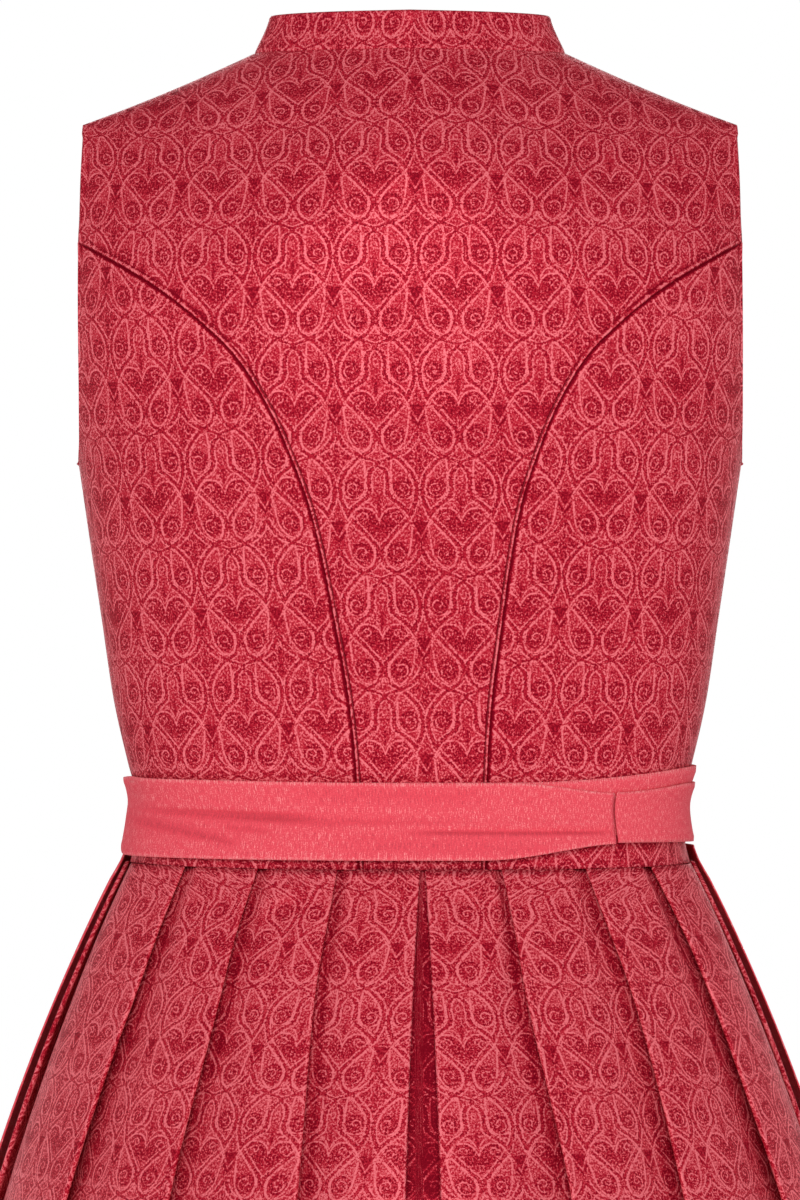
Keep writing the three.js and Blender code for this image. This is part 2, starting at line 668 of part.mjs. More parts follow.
// A point of the apron's inner face, moved out. Its gathers widen to soft folds towards the hem.
function apronPoint(degrees, z, out) {
  const drop = Math.max(0, apronDrop(z));
  const turn = radians(degrees - 180);
  const crest = 0.5 - 0.5 * Math.cos(2 * APRON.waves * turn + 0.9 * Math.sin(3 * turn));
  const fold = apronFold(drop) * crest;
  const onSkirt = skirtPoint(skirtSection(drop), degrees, APRON.clear + fold + out);
  const onBody = outFromBody(degrees, z, BAND.lift.start + fold * APRON_FOLD.onBody + out);
  const share = smooth(z, APRON_SETTLE.from, APRON_SETTLE.to);
  return new THREE.Vector3(mix(onSkirt.x, onBody.x, share), mix(onSkirt.y, onBody.y, share), z);
}

function apronSheet(out) {
  const columns = 4 * APRON.waves;
  const from = APRON.edgeLeft;
  const to = 360 + APRON.edgeRight;
  const heights = [...APRON_ROWS.map((drop) => APRON.top - drop), APRON.bottom].reverse();
  return heights.map((z) => {
    const row = [];
    for (let i = 0; i <= columns; i += 1) row.push(apronPoint(mix(from, to, i / columns), z, out));
    return row;
  });
}

// Waistband and ties, as bands round the waist

const stepped = ({ start, steps }, degrees) =>
  steps.reduce((sum, step) => sum + step.rise * smooth(degrees, step.from, step.to), start);

function bandSheet(band, columns) {
  const rows = 3;
  const sheet = [];
  for (let j = 0; j <= rows; j += 1) {
    const row = [];
    for (let i = 0; i <= columns; i += 1) {
      const degrees = mix(band.start, band.end, i / columns);
      const z = mix(stepped(band.bottom, degrees), stepped(band.top, degrees), j / rows);
      row.push(outFromBody(degrees, z, stepped(band.lift, degrees)));
    }
    sheet.push(row);
  }
  return sheet;
}

// The knot that joins the two ties at the wearer's left front: a lump of folded cloth
function knotGeometry() {
  const outward = outFromBody(KNOT.phi, KNOT.z, 1).sub(bodyPoint(KNOT.phi, KNOT.z)).setZ(0).normalize();
  const across = new THREE.Vector3(-outward.y, outward.x, 0);
  const centre = outFromBody(KNOT.phi, KNOT.z, KNOT.inner);
  const around = KNOT.around;
  const points = [];
  for (const { up, size } of KNOT_LEVELS) {
    for (let i = 0; i < around; i += 1) {
      const turn = (2 * Math.PI * i) / around;
      points.push(
        centre
          .clone()
          .addScaledVector(across, (KNOT.width / 2) * size * Math.cos(turn))
          .addScaledVector(outward, (KNOT.depth / 2) * (1 + size * Math.sin(turn)) + KNOT.clear)
          .add(new THREE.Vector3(0, 0, KNOT.height * up)),
      );
    }
  }
  const index = [];
  for (let j = 0; j < KNOT_LEVELS.length - 1; j += 1) {
    for (let i = 0; i < around; i += 1) {
      const next = (i + 1) % around;
      const [a, b] = [j * around, (j + 1) * around];
      index.push(a + i, a + next, b + next, a + i, b + next, b + i);
    }
  }
  const last = (KNOT_LEVELS.length - 1) * around;
  for (let i = 1; i < around - 1; i += 1) index.push(0, i + 1, i, last, last + i, last + i + 1);
  return closed(points, index);
}

// A point clear of the apron's highest gathers
function pointOverApron(degrees, z, out) {
  const drop = Math.max(0, apronDrop(z));
  const crest = apronFold(drop) + APRON.clear + APRON_CLOTH + TAIL.clear;
  const plan = skirtPoint(skirtSection(drop), degrees, crest + out);
  return new THREE.Vector3(plan.x, plan.y, z);
}

// A tie's hanging end, which lies on the apron below the knot
function tailSheet(tail) {
  const rows = 8;
  const columns = 4;
  const top = KNOT.z - KNOT.height / 2 - TAIL.gap;
  const sheet = [];
  for (let j = rows; j >= 0; j -= 1) {
    const t = j / rows;
    const row = [];
    for (let i = 0; i <= columns; i += 1) {
      const share = i / columns - 0.5;
      const z = top - t * tail.length - (t === 1 ? TAIL.slant * (share + 0.5) : 0);
      const section = skirtSection(Math.max(0, apronDrop(z)));
      const width = TAIL.width * mix(TAIL.pinched, 1, smooth(t, 0, TAIL.opensBy));
      const turn = THREE.MathUtils.radToDeg((share * width) / ((section.width + section.front) / 2));
      const wave = TAIL_WAVE.depth * (1 + Math.sin(t * TAIL_WAVE.turns) * (TAIL_WAVE.start + t));
      row.push(pointOverApron(mix(tail.top, tail.bottom, t) + turn, z, tail.lift + wave));
    }
    sheet.push(row);
  }
  return sheet;
}

// Assembly

const dirndl = new THREE.Group();
function add(name, geometry, material) {
  const mesh = new THREE.Mesh(geometry, material);
  mesh.name = name;
  dirndl.add(mesh);
}

add("back_centre", panelOn(backCentreSheet(), true), RED);
for (const back of [true, false]) {
  const side = sidePanelSheet(back);
  const name = back ? "side_back" : "side_front";
  add(`${name}_left`, panelOn(side, back), RED);
  add(`${name}_right`, panelOn(mirrored(side), back), RED);
}
add("front_left", panelOn(frontLeftSheet(), false, 1), RED);
add("front_right", panelOn(mirrored(frontLeftSheet()), false, -1), RED);
add("collar", standOn(collarSheet(), COLLAR.thickness), RED);

add("skirt_back", skirtGeometry(true), RED);
add("skirt_front", skirtGeometry(false), RED);

add("apron_panel", wall(apronSheet(APRON_CLOTH), apronSheet(0)), CORAL);
const bandOn = (band, columns, thickness) => clothOn(bandSheet(band, columns), thickness, thickness);
add("apron_waistband", bandOn(BAND, 48, APRON_CLOTH), CORAL);
add("tie_over", bandOn(TIE_OVER, 40, APRON_CLOTH), CORAL);
add("tie_under", bandOn(TIE_UNDER, 60, TIE_CLOTH), CORAL);
add("tie_knot", knotGeometry(), CORAL);
add("tie_tail_inner", clothOn(tailSheet(TAIL_INNER), TAIL.thickness, TAIL.thickness), CORAL);
add("tie_tail_outer", clothOn(tailSheet(TAIL_OUTER), TAIL.thickness, TAIL.thickness), CORAL);

export default dirndl;
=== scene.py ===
"""Looks of the dirndl: its cloth, seams, pleats, ties and the studio round it, laid out as an add-on.

The cloth keeps the form of the solids in the frame. The tables and functions work in millimetres, the
settings and the finished objects in metres.
"""

import math

import bpy
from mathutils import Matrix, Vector


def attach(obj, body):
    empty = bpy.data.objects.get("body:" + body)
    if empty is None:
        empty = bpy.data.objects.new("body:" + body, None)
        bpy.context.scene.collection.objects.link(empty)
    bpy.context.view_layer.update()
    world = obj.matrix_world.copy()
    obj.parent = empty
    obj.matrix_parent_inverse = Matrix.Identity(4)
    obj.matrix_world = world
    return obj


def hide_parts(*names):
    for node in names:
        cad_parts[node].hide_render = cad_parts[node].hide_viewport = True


bl_info = {
    "name": "Dirndl",
    "version": (1, 0, 0),
    "blender": (4, 5, 0),
    "location": "View3D > Sidebar > Dirndl",
    "description": "A sleeveless jacquard dirndl with a plain apron",
    "category": "Object",
}

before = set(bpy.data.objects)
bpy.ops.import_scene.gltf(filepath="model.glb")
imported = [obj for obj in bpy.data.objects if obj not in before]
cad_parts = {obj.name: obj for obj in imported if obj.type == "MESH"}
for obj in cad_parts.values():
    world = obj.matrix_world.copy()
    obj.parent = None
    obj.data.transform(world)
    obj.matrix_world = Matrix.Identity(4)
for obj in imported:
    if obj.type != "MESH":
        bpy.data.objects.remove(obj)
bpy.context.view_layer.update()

MM = 0.001
BODY = "root"
CLOTH_UV = "cloth"
# Name of the stored painted shade and painted highlight of each sheet
PAINTED_SHADING_ATTRIBUTE = "painted_shading_attribute"


# Settings


def size(name, description, default, low=0.0):
    """A length in metres."""
    return bpy.props.FloatProperty(
        name=name, description=description, default=default, min=low, precision=4, unit="LENGTH"
    )


def tone(name, description, default):
    """A linear colour."""
    return bpy.props.FloatVectorProperty(
        name=name, description=description, default=default, size=3, min=0.0, max=1.0, subtype="COLOR"
    )


class DirndlCloth(bpy.types.PropertyGroup):
    """Walls and colours of the cloths."""

    jacquard_wall: size("Jacquard wall", "Thickness of the jacquard", 0.0009)
    collar_wall: size("Collar wall", "Thickness of the doubled jacquard of the collar", 0.0013)
    apron_wall: size("Apron wall", "Thickness of the apron cloth", 0.0007)
    repeat_width: size("Repeat width", "Width of the woven repeat", 0.04)
    repeat_height: size("Repeat height", "Height of the woven repeat", 0.0572)
    red_deep: tone("Deep red", "Darkest red of the jacquard", (0.235, 0.002, 0.012))
    red_ground: tone("Ground red", "Ground of the jacquard", (0.545, 0.015, 0.036))
    red_light: tone("Light red", "Lines of the woven pattern", (0.92, 0.19, 0.22))
    coral: tone("Coral", "Plain cloth of the apron", (0.86, 0.080, 0.114))


class DirndlStage(bpy.types.PropertyGroup):
    """Camera, floor and lights."""

    camera_distance: size("Camera distance", "From the shoulder line to the camera", 3.6)
    camera_aside: size("Camera aside", "Sideways place of the camera, to the wearer's left", 0.005)
    camera_height: size("Camera height", "Height of the camera over the shoulders", -0.255, low=-2.0)
    view_height: size("View height", "Height of the picture at the shoulder line", 0.6)
    floor_height: size("Floor", "Height of the floor over the shoulders", -1.38, low=-3.0)


def cloth():
    """The cloth settings."""
    return bpy.context.scene.dirndl_cloth


def studio():
    """The stage settings."""
    return bpy.context.scene.dirndl_stage


# Form of the filled bodice and the skirt, as in the solids


def table(keys, *rows):
    """Rows of values as dictionaries, with their keys named once."""
    return [dict(zip(keys.split(), row)) for row in rows]


SHOULDER_TIP = {"x": 163.5, "z": -17.5}
NECK_SIDE_X = 78.0
SHOULDER_RISE = 0.36
SHOULDER_CURVE = 0.00065
SHOULDER_ROLL = 112.0
NECK = {"back": 16.7, "front": -48.0, "front_power": 0.7}
COLLAR = {
    "back": 20.2, "side": 19.3, "front": 20.0, "rounding": 0.45, "rounded_from": 0.94, "gap": -0.6,
    "lean": 0.1, "lean_low": 0.6, "middle": -10.0, "apart": 0.25, "side_flat": 0.004,
}
UNDERARM_Z = -187.5
SEAM_TOP_Z = -78.0
WAIST_SEAM = {"side": -385.5, "dip": 1.2}
ROUNDNESS = 2.2
# Gap on each side of the centre front and the side seams
HALF_GAP = 0.15
# Steps of a search by halves, and the distance over which a slope is taken
HALVINGS = 30
STEP = 0.5
BUST = {"x": 76.0, "z": -208.0, "out": 21.0, "across": 44.0, "up": 52.0, "fade": 0.6}
LEAN = {"x": -6.0, "from": 80.0, "to": 385.0, "depth": 80.0}

BODY_ROWS = table(
    "z width back front",
    (-410, 146, 98, 115),
    (-392, 141.5, 93, 110),
    (-376, 137.5, 89, 106),
    (-358, 135.2, 84.5, 101.5),
    (-338, 140.5, 85.5, 102.5),
    (-305, 148, 88, 105),
    (-265, 154, 93, 111),
    (-225, 160, 99, 117),
    (-187.5, 165.5, 104, 118),
    (-155, 170.5, 107, 112),
    (-105, 174, 107, 98),
    (-50, 172.5, 97, 82),
    (-18, 170, 86, 70),
    (20, 169, 70, 55),
    (60, 168, 60, 42),
)
BACK_SEAM = table(
    "z x",
    (-415.5, 30.6),
    (-382.7, 31.2),
    (-337, 32.7),
    (-302.8, 35.6),
    (-271.6, 40.4),
    (-235.5, 46.4),
    (-209.3, 52.1),
    (-185.9, 60.1),
    (-159.6, 71.5),
    (-136, 86.8),
    (-118.5, 104.7),
    (-102.8, 124.3),
    (-78, 164.7),
)
FRONT_SEAM = table(
    "z x",
    (-420, 57),
    (-386, 58),
    (-300, 66),
    (-240, 76),
    (-200, 86),
    (-150, 104),
    (-110, 128),
    (-78, 154.4),
)
ARMHOLE = table(
    "z back front",
    (-187.5, 165.5, 165.5),
    (-185, 165.3, 165.1),
    (-175, 164.7, 163.4),
    (-140, 164.6, 156.5),
    (-78, 164.8, 154.5),
    (-50, 164.6, 157.5),
    (-17.5, 163.5, 163.5),
)
# Heights of a side panel's outer edge, by the share (z) of the way up the panel
SIDE_EDGE = table(
    "z height",
    (0.0, -385.5),
    (0.667, -187.5),
    (0.75, -185.0),
    (0.833, -175.0),
    (0.917, -140.0),
    (1.0, -78.0),
)


def clamp(x, low=0.0, high=1.0):
    """x kept between low and high."""
    return max(low, min(high, x))


def mix(a, b, t):
    """The value a share t of the way from a to b."""
    return a + (b - a) * t


def smooth(x, start, stop):
    """0 before start, 1 after stop and an even step between."""
    t = clamp((x - start) / (stop - start))
    return t * t * (3 - 2 * t)


def ramps(rows, x):
    """The sum of even steps, each from its first to its last value between two places."""
    return sum(mix(row["first"], row["last"], smooth(x, row["from"], row["to"])) for row in rows)


def bump(x, width):
    """1 at 0, falling to 0 a few widths away."""
    return math.exp(-((x / width) ** 2))


def at(rows, z, key):
    """One column of a table at a height, on a smooth curve through its rows."""
    last = len(rows) - 1
    spot = clamp(z, rows[0]["z"], rows[last]["z"])
    i = 0
    while i < last - 1 and rows[i + 1]["z"] < spot:
        i += 1
    a, b = rows[i], rows[i + 1]

    def slope(p, q):
        return (q[key] - p[key]) / (q["z"] - p["z"])

    here = slope(a, b)
    before = slope(rows[i - 1], a) if i > 0 else here
    after = slope(b, rows[i + 2]) if i < last - 1 else here

    def ease(m, n):
        return 0.0 if m * n <= 0 else 2 * m * n / (m + n)

    start, stop = ease(before, here), ease(here, after)
    h = b["z"] - a["z"]
    t = (spot - a["z"]) / h
    rest = 1 - t
    ends = a[key] * rest * rest * (1 + 2 * t) + b[key] * t * t * (3 - 2 * t)
    return ends + h * (start * t * rest * rest - stop * t * t * rest)


def shoulder_z(x):
    """Height of the shoulder seam."""
    inward = SHOULDER_TIP["x"] - abs(x)
    return SHOULDER_TIP["z"] + SHOULDER_RISE * inward + SHOULDER_CURVE * inward * inward


def face(back):
    """The name of the back's or the front's column in a table."""
    return "back" if back else "front"


def depth_at(x, z, back):
    """Depth of the bodice's outer face, positive behind."""
    share = min(1.0, abs(x) / at(BODY_ROWS, z, "width"))
    section = (1 - share**ROUNDNESS) ** (1 / ROUNDNESS)
    fall = clamp((shoulder_z(x) - z) / SHOULDER_ROLL)
    full = at(BODY_ROWS, z, face(back)) * section * math.sqrt(1 - (1 - fall) ** 2)
    if back:
        return full
    cups = sum(
        math.exp(-(((x - side * BUST["x"]) / BUST["across"]) ** 2) - ((z - BUST["z"]) / BUST["up"]) ** 2)
        for side in (1, -1)
    )
    return -(full + BUST["out"] * cups * smooth(section, 0, BUST["fade"]))


def body_point(degrees, z):
    """A point of the bodice by its angle round the body: 0 is the centre back and 90 the wearer's left."""
    phi = math.radians(degrees)
    x = at(BODY_ROWS, z, "width") * math.sin(phi)
    return Vector((x, depth_at(x, z, math.cos(phi) >= 0), z))


def out_from_body(degrees, z, out):
    """The same point, moved out from the cloth."""
    around = body_point(degrees + STEP, z) - body_point(degrees - STEP, z)
    rise = body_point(degrees, z + STEP) - body_point(degrees, z - STEP)
    normal = rise.cross(around).normalized()
    point = body_point(degrees, z)
    if normal.x * point.x + normal.y * point.y < 0:
        normal.negate()
    return point + normal * out


def waist_z(x):
    """Height of the waist seam."""
    share = min(1.0, abs(x) / SKIRT_TOP["width"])
    return WAIST_SEAM["side"] - WAIST_SEAM["dip"] * (1 - share * share)


def neck_z(x, back):
    """Height of the collar seam."""
    gap = max(0.0, 1 - (x / NECK_SIDE_X) ** 2)
    side = shoulder_z(NECK_SIDE_X)
    return mix(side, NECK["back"], gap) if back else mix(side, NECK["front"], gap ** NECK["front_power"])


def top_z(x, back):
    """Height of the bodice's upper edge."""
    return neck_z(x, back) if abs(x) < NECK_SIDE_X else shoulder_z(x)


def edge_x(z, back):
    """Half width of the centre panels at a height."""
    if z >= SEAM_TOP_Z:
        return at(ARMHOLE, z, face(back))
    return at(BACK_SEAM if back else FRONT_SEAM, z, "x")


def row_end(share, back):
    """Where the line a share of the way up a centre panel meets its side edge: x and z."""
    low, high = 20.0, SHOULDER_TIP["x"] + 2
    for _ in range(HALVINGS):
        x = (low + high) / 2
        if x < edge_x(mix(waist_z(x), top_z(x, back), share), back):
            low = x
        else:
            high = x
    return low, mix(waist_z(low), top_z(low, back), share)


def seam_share(back):
    """How far up a centre panel its curved seam meets the armhole."""
    low, high = 0.0, 1.0
    for _ in range(HALVINGS):
        share = (low + high) / 2
        if row_end(share, back)[1] < SEAM_TOP_Z:
            low = share
        else:
            high = share
    return low


def leaned(p):
    """The back hangs a little to the wearer's right of the middle, fully so from the waist down."""
    share = smooth(-p.z, LEAN["from"], LEAN["to"]) * smooth(p.y, 0, LEAN["depth"])
    return Vector((p.x + LEAN["x"] * share, p.y, p.z))


# Soft creases, as troughs between two points of the cloth: x and z of both ends, width and depth

CREASE_STARTS = (-0.15, 0.2)
CREASE_STOPS = (0.8, 1.15)


def crease_depth(rows, x, z):
    """How deep the cloth lies at (x, z), over all creases of a table. A negative depth is a ridge."""
    total = 0.0
    for row in rows:
        ax, az, bx, bz = row["x1"], row["z1"], row["x2"], row["z2"]
        length = math.hypot(bx - ax, bz - az)
        along = ((x - ax) * (bx - ax) + (z - az) * (bz - az)) / length / length
        off = abs((x - ax) * (bz - az) - (z - az) * (bx - ax)) / length
        fade = smooth(along, *CREASE_STARTS) * (1 - smooth(along, *CREASE_STOPS))
        total += row["depth"] * bump(off, row["width"]) * fade
    return total


# Sheets of cloth


def only(obj):
    """Makes obj the only selected and active object."""
    bpy.ops.object.select_all(action="DESELECT")
    obj.select_set(True)
    bpy.context.view_layer.objects.active = obj


def grid(name, columns, rows, place, flat, painted_shading=None):
    """A sheet: place(i, j) gives each point and flat(i, j) its place on the uncut cloth, both in millimetres.

    The last argument, if given, gives for each (i, j) the painted highlight (above 0) and painted shade
    (below 0) laid into the cloth's colour beside seams, along folds, in creases and over the whole skirt.
    """
    bpy.ops.object.select_all(action="DESELECT")
    bpy.ops.mesh.primitive_grid_add(x_subdivisions=columns, y_subdivisions=rows, size=2)
    obj = bpy.context.object
    obj.name = name
    mesh = obj.data
    mesh.name = name
    spots = [(round((v.co.x + 1) / 2 * columns), round((v.co.y + 1) / 2 * rows)) for v in mesh.vertices]
    if len(spots) != (columns + 1) * (rows + 1):
        raise RuntimeError(f"{name}: the grid has {len(spots)} points")
    uv = mesh.uv_layers[0]
    uv.name = CLOTH_UV
    flats = [flat(i, j) for i, j in spots]
    for loop in mesh.loops:
        uv.data[loop.index].uv = flats[loop.vertex_index]
    for vertex, (i, j) in zip(mesh.vertices, spots):
        vertex.co = leaned(place(i, j)) * MM
    if painted_shading:
        painted_shading_values = mesh.attributes.new(PAINTED_SHADING_ATTRIBUTE, "FLOAT", "POINT")
        for item, (i, j) in zip(painted_shading_values.data, spots):
            item.value = painted_shading(i, j)
    mesh.update()
    outward = sum(f.normal.x * f.center.x + f.normal.y * f.center.y for f in mesh.polygons)
    if outward < 0:
        bpy.ops.object.mode_set(mode="EDIT")
        bpy.ops.mesh.select_all(action="SELECT")
        bpy.ops.mesh.flip_normals()
        bpy.ops.object.mode_set(mode="OBJECT")
    return obj


def finish_sheet(obj, wall, material, node):
    """Thickens a sheet inwards, gives it its cloth, hangs it on the body and hides the part it stands for."""
    mesh = obj.data
    us = [d.uv[0] for d in mesh.uv_layers[0].data]
    vs = [d.uv[1] for d in mesh.uv_layers[0].data]
    flat = ((max(us) - min(us)) * MM, (max(vs) - min(vs)) * MM)
    area = min(sum(f.area for f in mesh.polygons), flat[0] * flat[1])
    only(obj)
    solid = obj.modifiers.new("Wall", "SOLIDIFY")
    solid.thickness = wall
    solid.offset = -1.0
    bpy.ops.object.modifier_apply(modifier=solid.name)
    bpy.ops.object.shade_smooth()
    mesh.materials.clear()
    mesh.materials.append(material)
    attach(obj, BODY)
    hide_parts(node)


# Bodice

# Columns of a panel beside its edge, as distances from the edge
EDGE_STEPS = (0.0, 0.35, 0.7, 1.15, 1.5, 1.8, 2.1, 2.4, 2.8, 3.6, 5.0, 7.5)
# How far a side panel reaches under the panel beside it
SEAM_TUCK = 1.0
# Heights of the cloth beside its edges: ridges by size, distance and width, and a fall towards the edge
EDGE_HEIGHTS = {
    "stitched": {"ridges": [(0.55, 1.15, 0.5), (-0.8, 2.1, 0.36)], "fall": 1.1, "from": 0.0, "to": 0.8},
    "rolled": {"ridges": [(0.12, 1.2, 0.8)], "fall": 0.55, "from": 0.0, "to": 0.8},
    "tucked": {"ridges": [(0.1, 2.6, 0.8)], "fall": 1.35, "from": 0.0, "to": 1.9},
    "turned": {"ridges": [(0.25, 1.6, 0.9), (-0.22, 3.4, 0.5)], "fall": 0.8, "from": 0.0, "to": 1.2},
    "collar": {"ridges": [], "fall": 0.5, "from": 0.0, "to": 1.2},
    "band": {"ridges": [(0.12, 2.6, 1.0)], "fall": 0.45, "from": 0.0, "to": 1.4},
}
# Painted shade and painted highlight in the cloth's colour beside its edges, laid out in the same way:
# painted shade in a seam's groove and where a panel runs under the next, painted highlight on the ridges and
# along a band's folded edges
EDGE_PAINTED_SHADING = {
    "stitched": {"ridges": [(0.75, 1.2, 0.45), (-1.5, 2.15, 0.4)], "fall": 1.9, "from": 0.2, "to": 1.0},
    "tucked": {"ridges": [(0.5, 2.5, 0.6)], "fall": 1.9, "from": 1.0, "to": 2.0},
    "band": {"ridges": [], "fall": -0.3, "from": 0.4, "to": 1.8},
}
# Where the woven repeat falls: the height that lengths are measured from, and its shift across and up
REPEAT_PLACE = {
    "centre": {"zero": -151.0, "across": -17.6, "up": 5.5},
    "side": {"zero": -199.0, "across": -14.5, "up": -2.5, "tilt": 0.073, "rise": 0.0292},
    "collar": {"across": 22.0, "up": 24.0},
    "skirt": {"left": 23.0, "right": -3.0, "up": 38.0},
}
ROWS_OVER_SEAM = 24
ROW_CROWDING = 1.8
# The end of the curved seam at the armhole, in shares of the way up the panel; by the share tone past it the
# seam's painted shade and painted highlight have faded out
SEAM_END = {"before": 0.012, "after": 0.03, "tone": 0.01, "corner": (154, 163), "reach": 0.02, "flat": 0.8}
# Height below the shoulder seam where the cloth lies without ridges
SHOULDER_PLAIN = 6.0
SIDE_PANEL = {
    "bend": 1.06, "least": 4.0, "edge": 0.3, "inset": 0.05, "upright": 120.0, "turn": 30.0, "stretch": 0.6,
}
PANELS = {
    "back_centre": {"columns": 84, "rows": 128},
    "side_back": {"columns": 26, "rows": 92},
    "side_front": {"columns": 22, "rows": 84},
    "front": {"columns": 36, "rows": 110},
}
BODICE_CREASES = table(
    "x1 z1 x2 z2 width depth",
    (20, -352, 128, -322, 7, 0.8),
    (-18, -350, -126, -318, 8, 0.7),
    (60, -300, 140, -262, 10, 0.7),
    (-70, -290, -142, -258, 9, 0.6),
    (96, -120, 158, -175, 9, 0.8),
    (-100, -126, -158, -180, 9, 0.8),
    (30, -12, 120, -50, 9, 0.8),
    (-34, -10, -118, -56, 9, 0.8),
)


def beside_edge(form, d):
    """Height of the cloth at a distance d from an edge of that form; with a table of painted shading, the
    painted shade and painted highlight there.
    """
    ridges = sum(size_of * bump(d - place, width) for size_of, place, width in form["ridges"])
    return ridges - form["fall"] * (1 - smooth(d, form["from"], form["to"]))


def columns_to_edge(reach, count, both_edges=False):
    """Distances from the centre to an edge, close together beside the edge."""
    near = [reach - d for d in EDGE_STEPS if d < reach / 2][::-1]
    start = near[0]
    low = -start if both_edges else 0.0
    inner = [mix(low, start, i / count) for i in range(count)]
    if both_edges:
        return [-x for x in near[::-1]] + inner[1:] + near
    return inner + near


def surface_normal(x, z, back):
    """Outward normal of the bodice away from its side seams."""
    slope_x = (depth_at(x + STEP, z, back) - depth_at(x - STEP, z, back)) / (2 * STEP)
    slope_z = (depth_at(x, z + STEP, back) - depth_at(x, z - STEP, back)) / (2 * STEP)
    side = 1.0 if back else -1.0
    return (Vector((-slope_x, 1.0, -slope_z)) * side).normalized()


class Flat:
    """Distances along the bodice's cloth, measured level from the centre and upright from a set height."""

    STEP = 5.0
    REACH_UP = 100
    REACH_ASIDE = 40

    def __init__(self, back, zero):
        self.back = back
        self.zero = zero
        self.columns = {}
        self.rows = {}

    def upright(self, x, z):
        """Length of cloth from the zero height up to z, along x."""
        key = round(abs(x) / self.STEP)
        if key not in self.columns:
            px = key * self.STEP
            lengths = {0: 0.0}
            for way in (1, -1):
                total = 0.0
                for n in range(1, self.REACH_UP):
                    a, b = self.zero + way * (n - 1) * self.STEP, self.zero + way * n * self.STEP
                    rise = depth_at(px, b, self.back) - depth_at(px, a, self.back)
                    total += min(math.hypot(self.STEP, rise), 4 * self.STEP)
                    lengths[way * n] = way * total
            self.columns[key] = lengths
        spot = (z - self.zero) / self.STEP
        low = math.floor(spot)
        lengths = self.columns[key]
        return mix(lengths[low], lengths[low + 1], spot - low)

    def level(self, x, z):
        """Length of cloth from the centre to x, at height z."""
        key = round(z / self.STEP)
        if key not in self.rows:
            pz = key * self.STEP
            lengths = [0.0]
            for n in range(1, self.REACH_ASIDE):
                rise = depth_at(n * self.STEP, pz, self.back) - depth_at((n - 1) * self.STEP, pz, self.back)
                lengths.append(lengths[-1] + min(math.hypot(self.STEP, rise), 3 * self.STEP))
            self.rows[key] = lengths
        spot = abs(x) / self.STEP
        low = min(int(spot), self.REACH_ASIDE - 2)
        return math.copysign(mix(self.rows[key][low], self.rows[key][low + 1], spot - low), x)


def centre_panel(name, back, side, columns, rows):
    """The back centre panel (side 0) or a front panel (side 1 is the wearer's left)."""
    repeat = REPEAT_PLACE["centre"]
    lay = Flat(back, repeat["zero"])
    top = seam_share(back)
    below = rows - ROWS_OVER_SEAM
    shares = [top * j / below for j in range(below)]
    over = [1 - (1 - j / ROWS_OVER_SEAM) ** ROW_CROWDING for j in range(ROWS_OVER_SEAM + 1)]
    shares += [mix(top, 1.0, share) for share in over]
    ends = [row_end(share, back) for share in shares]
    steps = [columns_to_edge(end[0], columns, both_edges=side == 0) for end in ends]
    count = len(steps[0]) - 1

    def where(i, j):
        half, _ = ends[j]
        across = steps[j][i] if side == 0 else side * steps[j][i]
        across = math.copysign(max(abs(across), HALF_GAP if side else 0.0), across)
        share = shares[j]
        return across, mix(waist_z(across), top_z(across, back), share), half

    def off_edge(i, j):
        x, _, half = where(i, j)
        (x0, z0), (x1, z1) = ends[max(j - 1, 0)], ends[min(j + 1, rows)]
        return (half - abs(x)) * (z1 - z0) / math.hypot(x1 - x0, z1 - z0)

    def place(i, j):
        x, z, _ = where(i, j)
        if j == rows and abs(x) >= NECK_SIDE_X:
            return Vector((x, HALF_GAP if back else -HALF_GAP, z))
        point = Vector((x, depth_at(x, z, back), z))
        off = off_edge(i, j)
        seam = beside_edge(EDGE_HEIGHTS["stitched" if back else "rolled"], off)
        armhole = beside_edge(EDGE_HEIGHTS["turned"], off)
        lift = mix(seam, armhole, smooth(shares[j], top - SEAM_END["before"], top + SEAM_END["after"]))
        corner = smooth(abs(x), *SEAM_END["corner"]) * bump(shares[j] - top, SEAM_END["reach"])
        lift *= 1 - SEAM_END["flat"] * corner
        lift -= crease_depth(BODICE_CREASES, x, z) if back else 0.0
        if shoulder_z(x) - z < SHOULDER_PLAIN:
            return point
        return point + surface_normal(x, z, back) * lift

    def flat(i, j):
        x, z, _ = where(i, j)
        return lay.level(x, z) + repeat["across"], lay.upright(x, z) + repeat["up"]

    # Painted shade in the curved seam's groove and painted highlight on its ridge, fading out at the armhole
    def painted_shading(i, j):
        seam_painted_shading = beside_edge(EDGE_PAINTED_SHADING["stitched"], off_edge(i, j))
        return seam_painted_shading * (1 - smooth(shares[j], top - SEAM_END["before"], top + SEAM_END["tone"]))

    return grid(name, count, rows, place, flat, painted_shading if back else None)


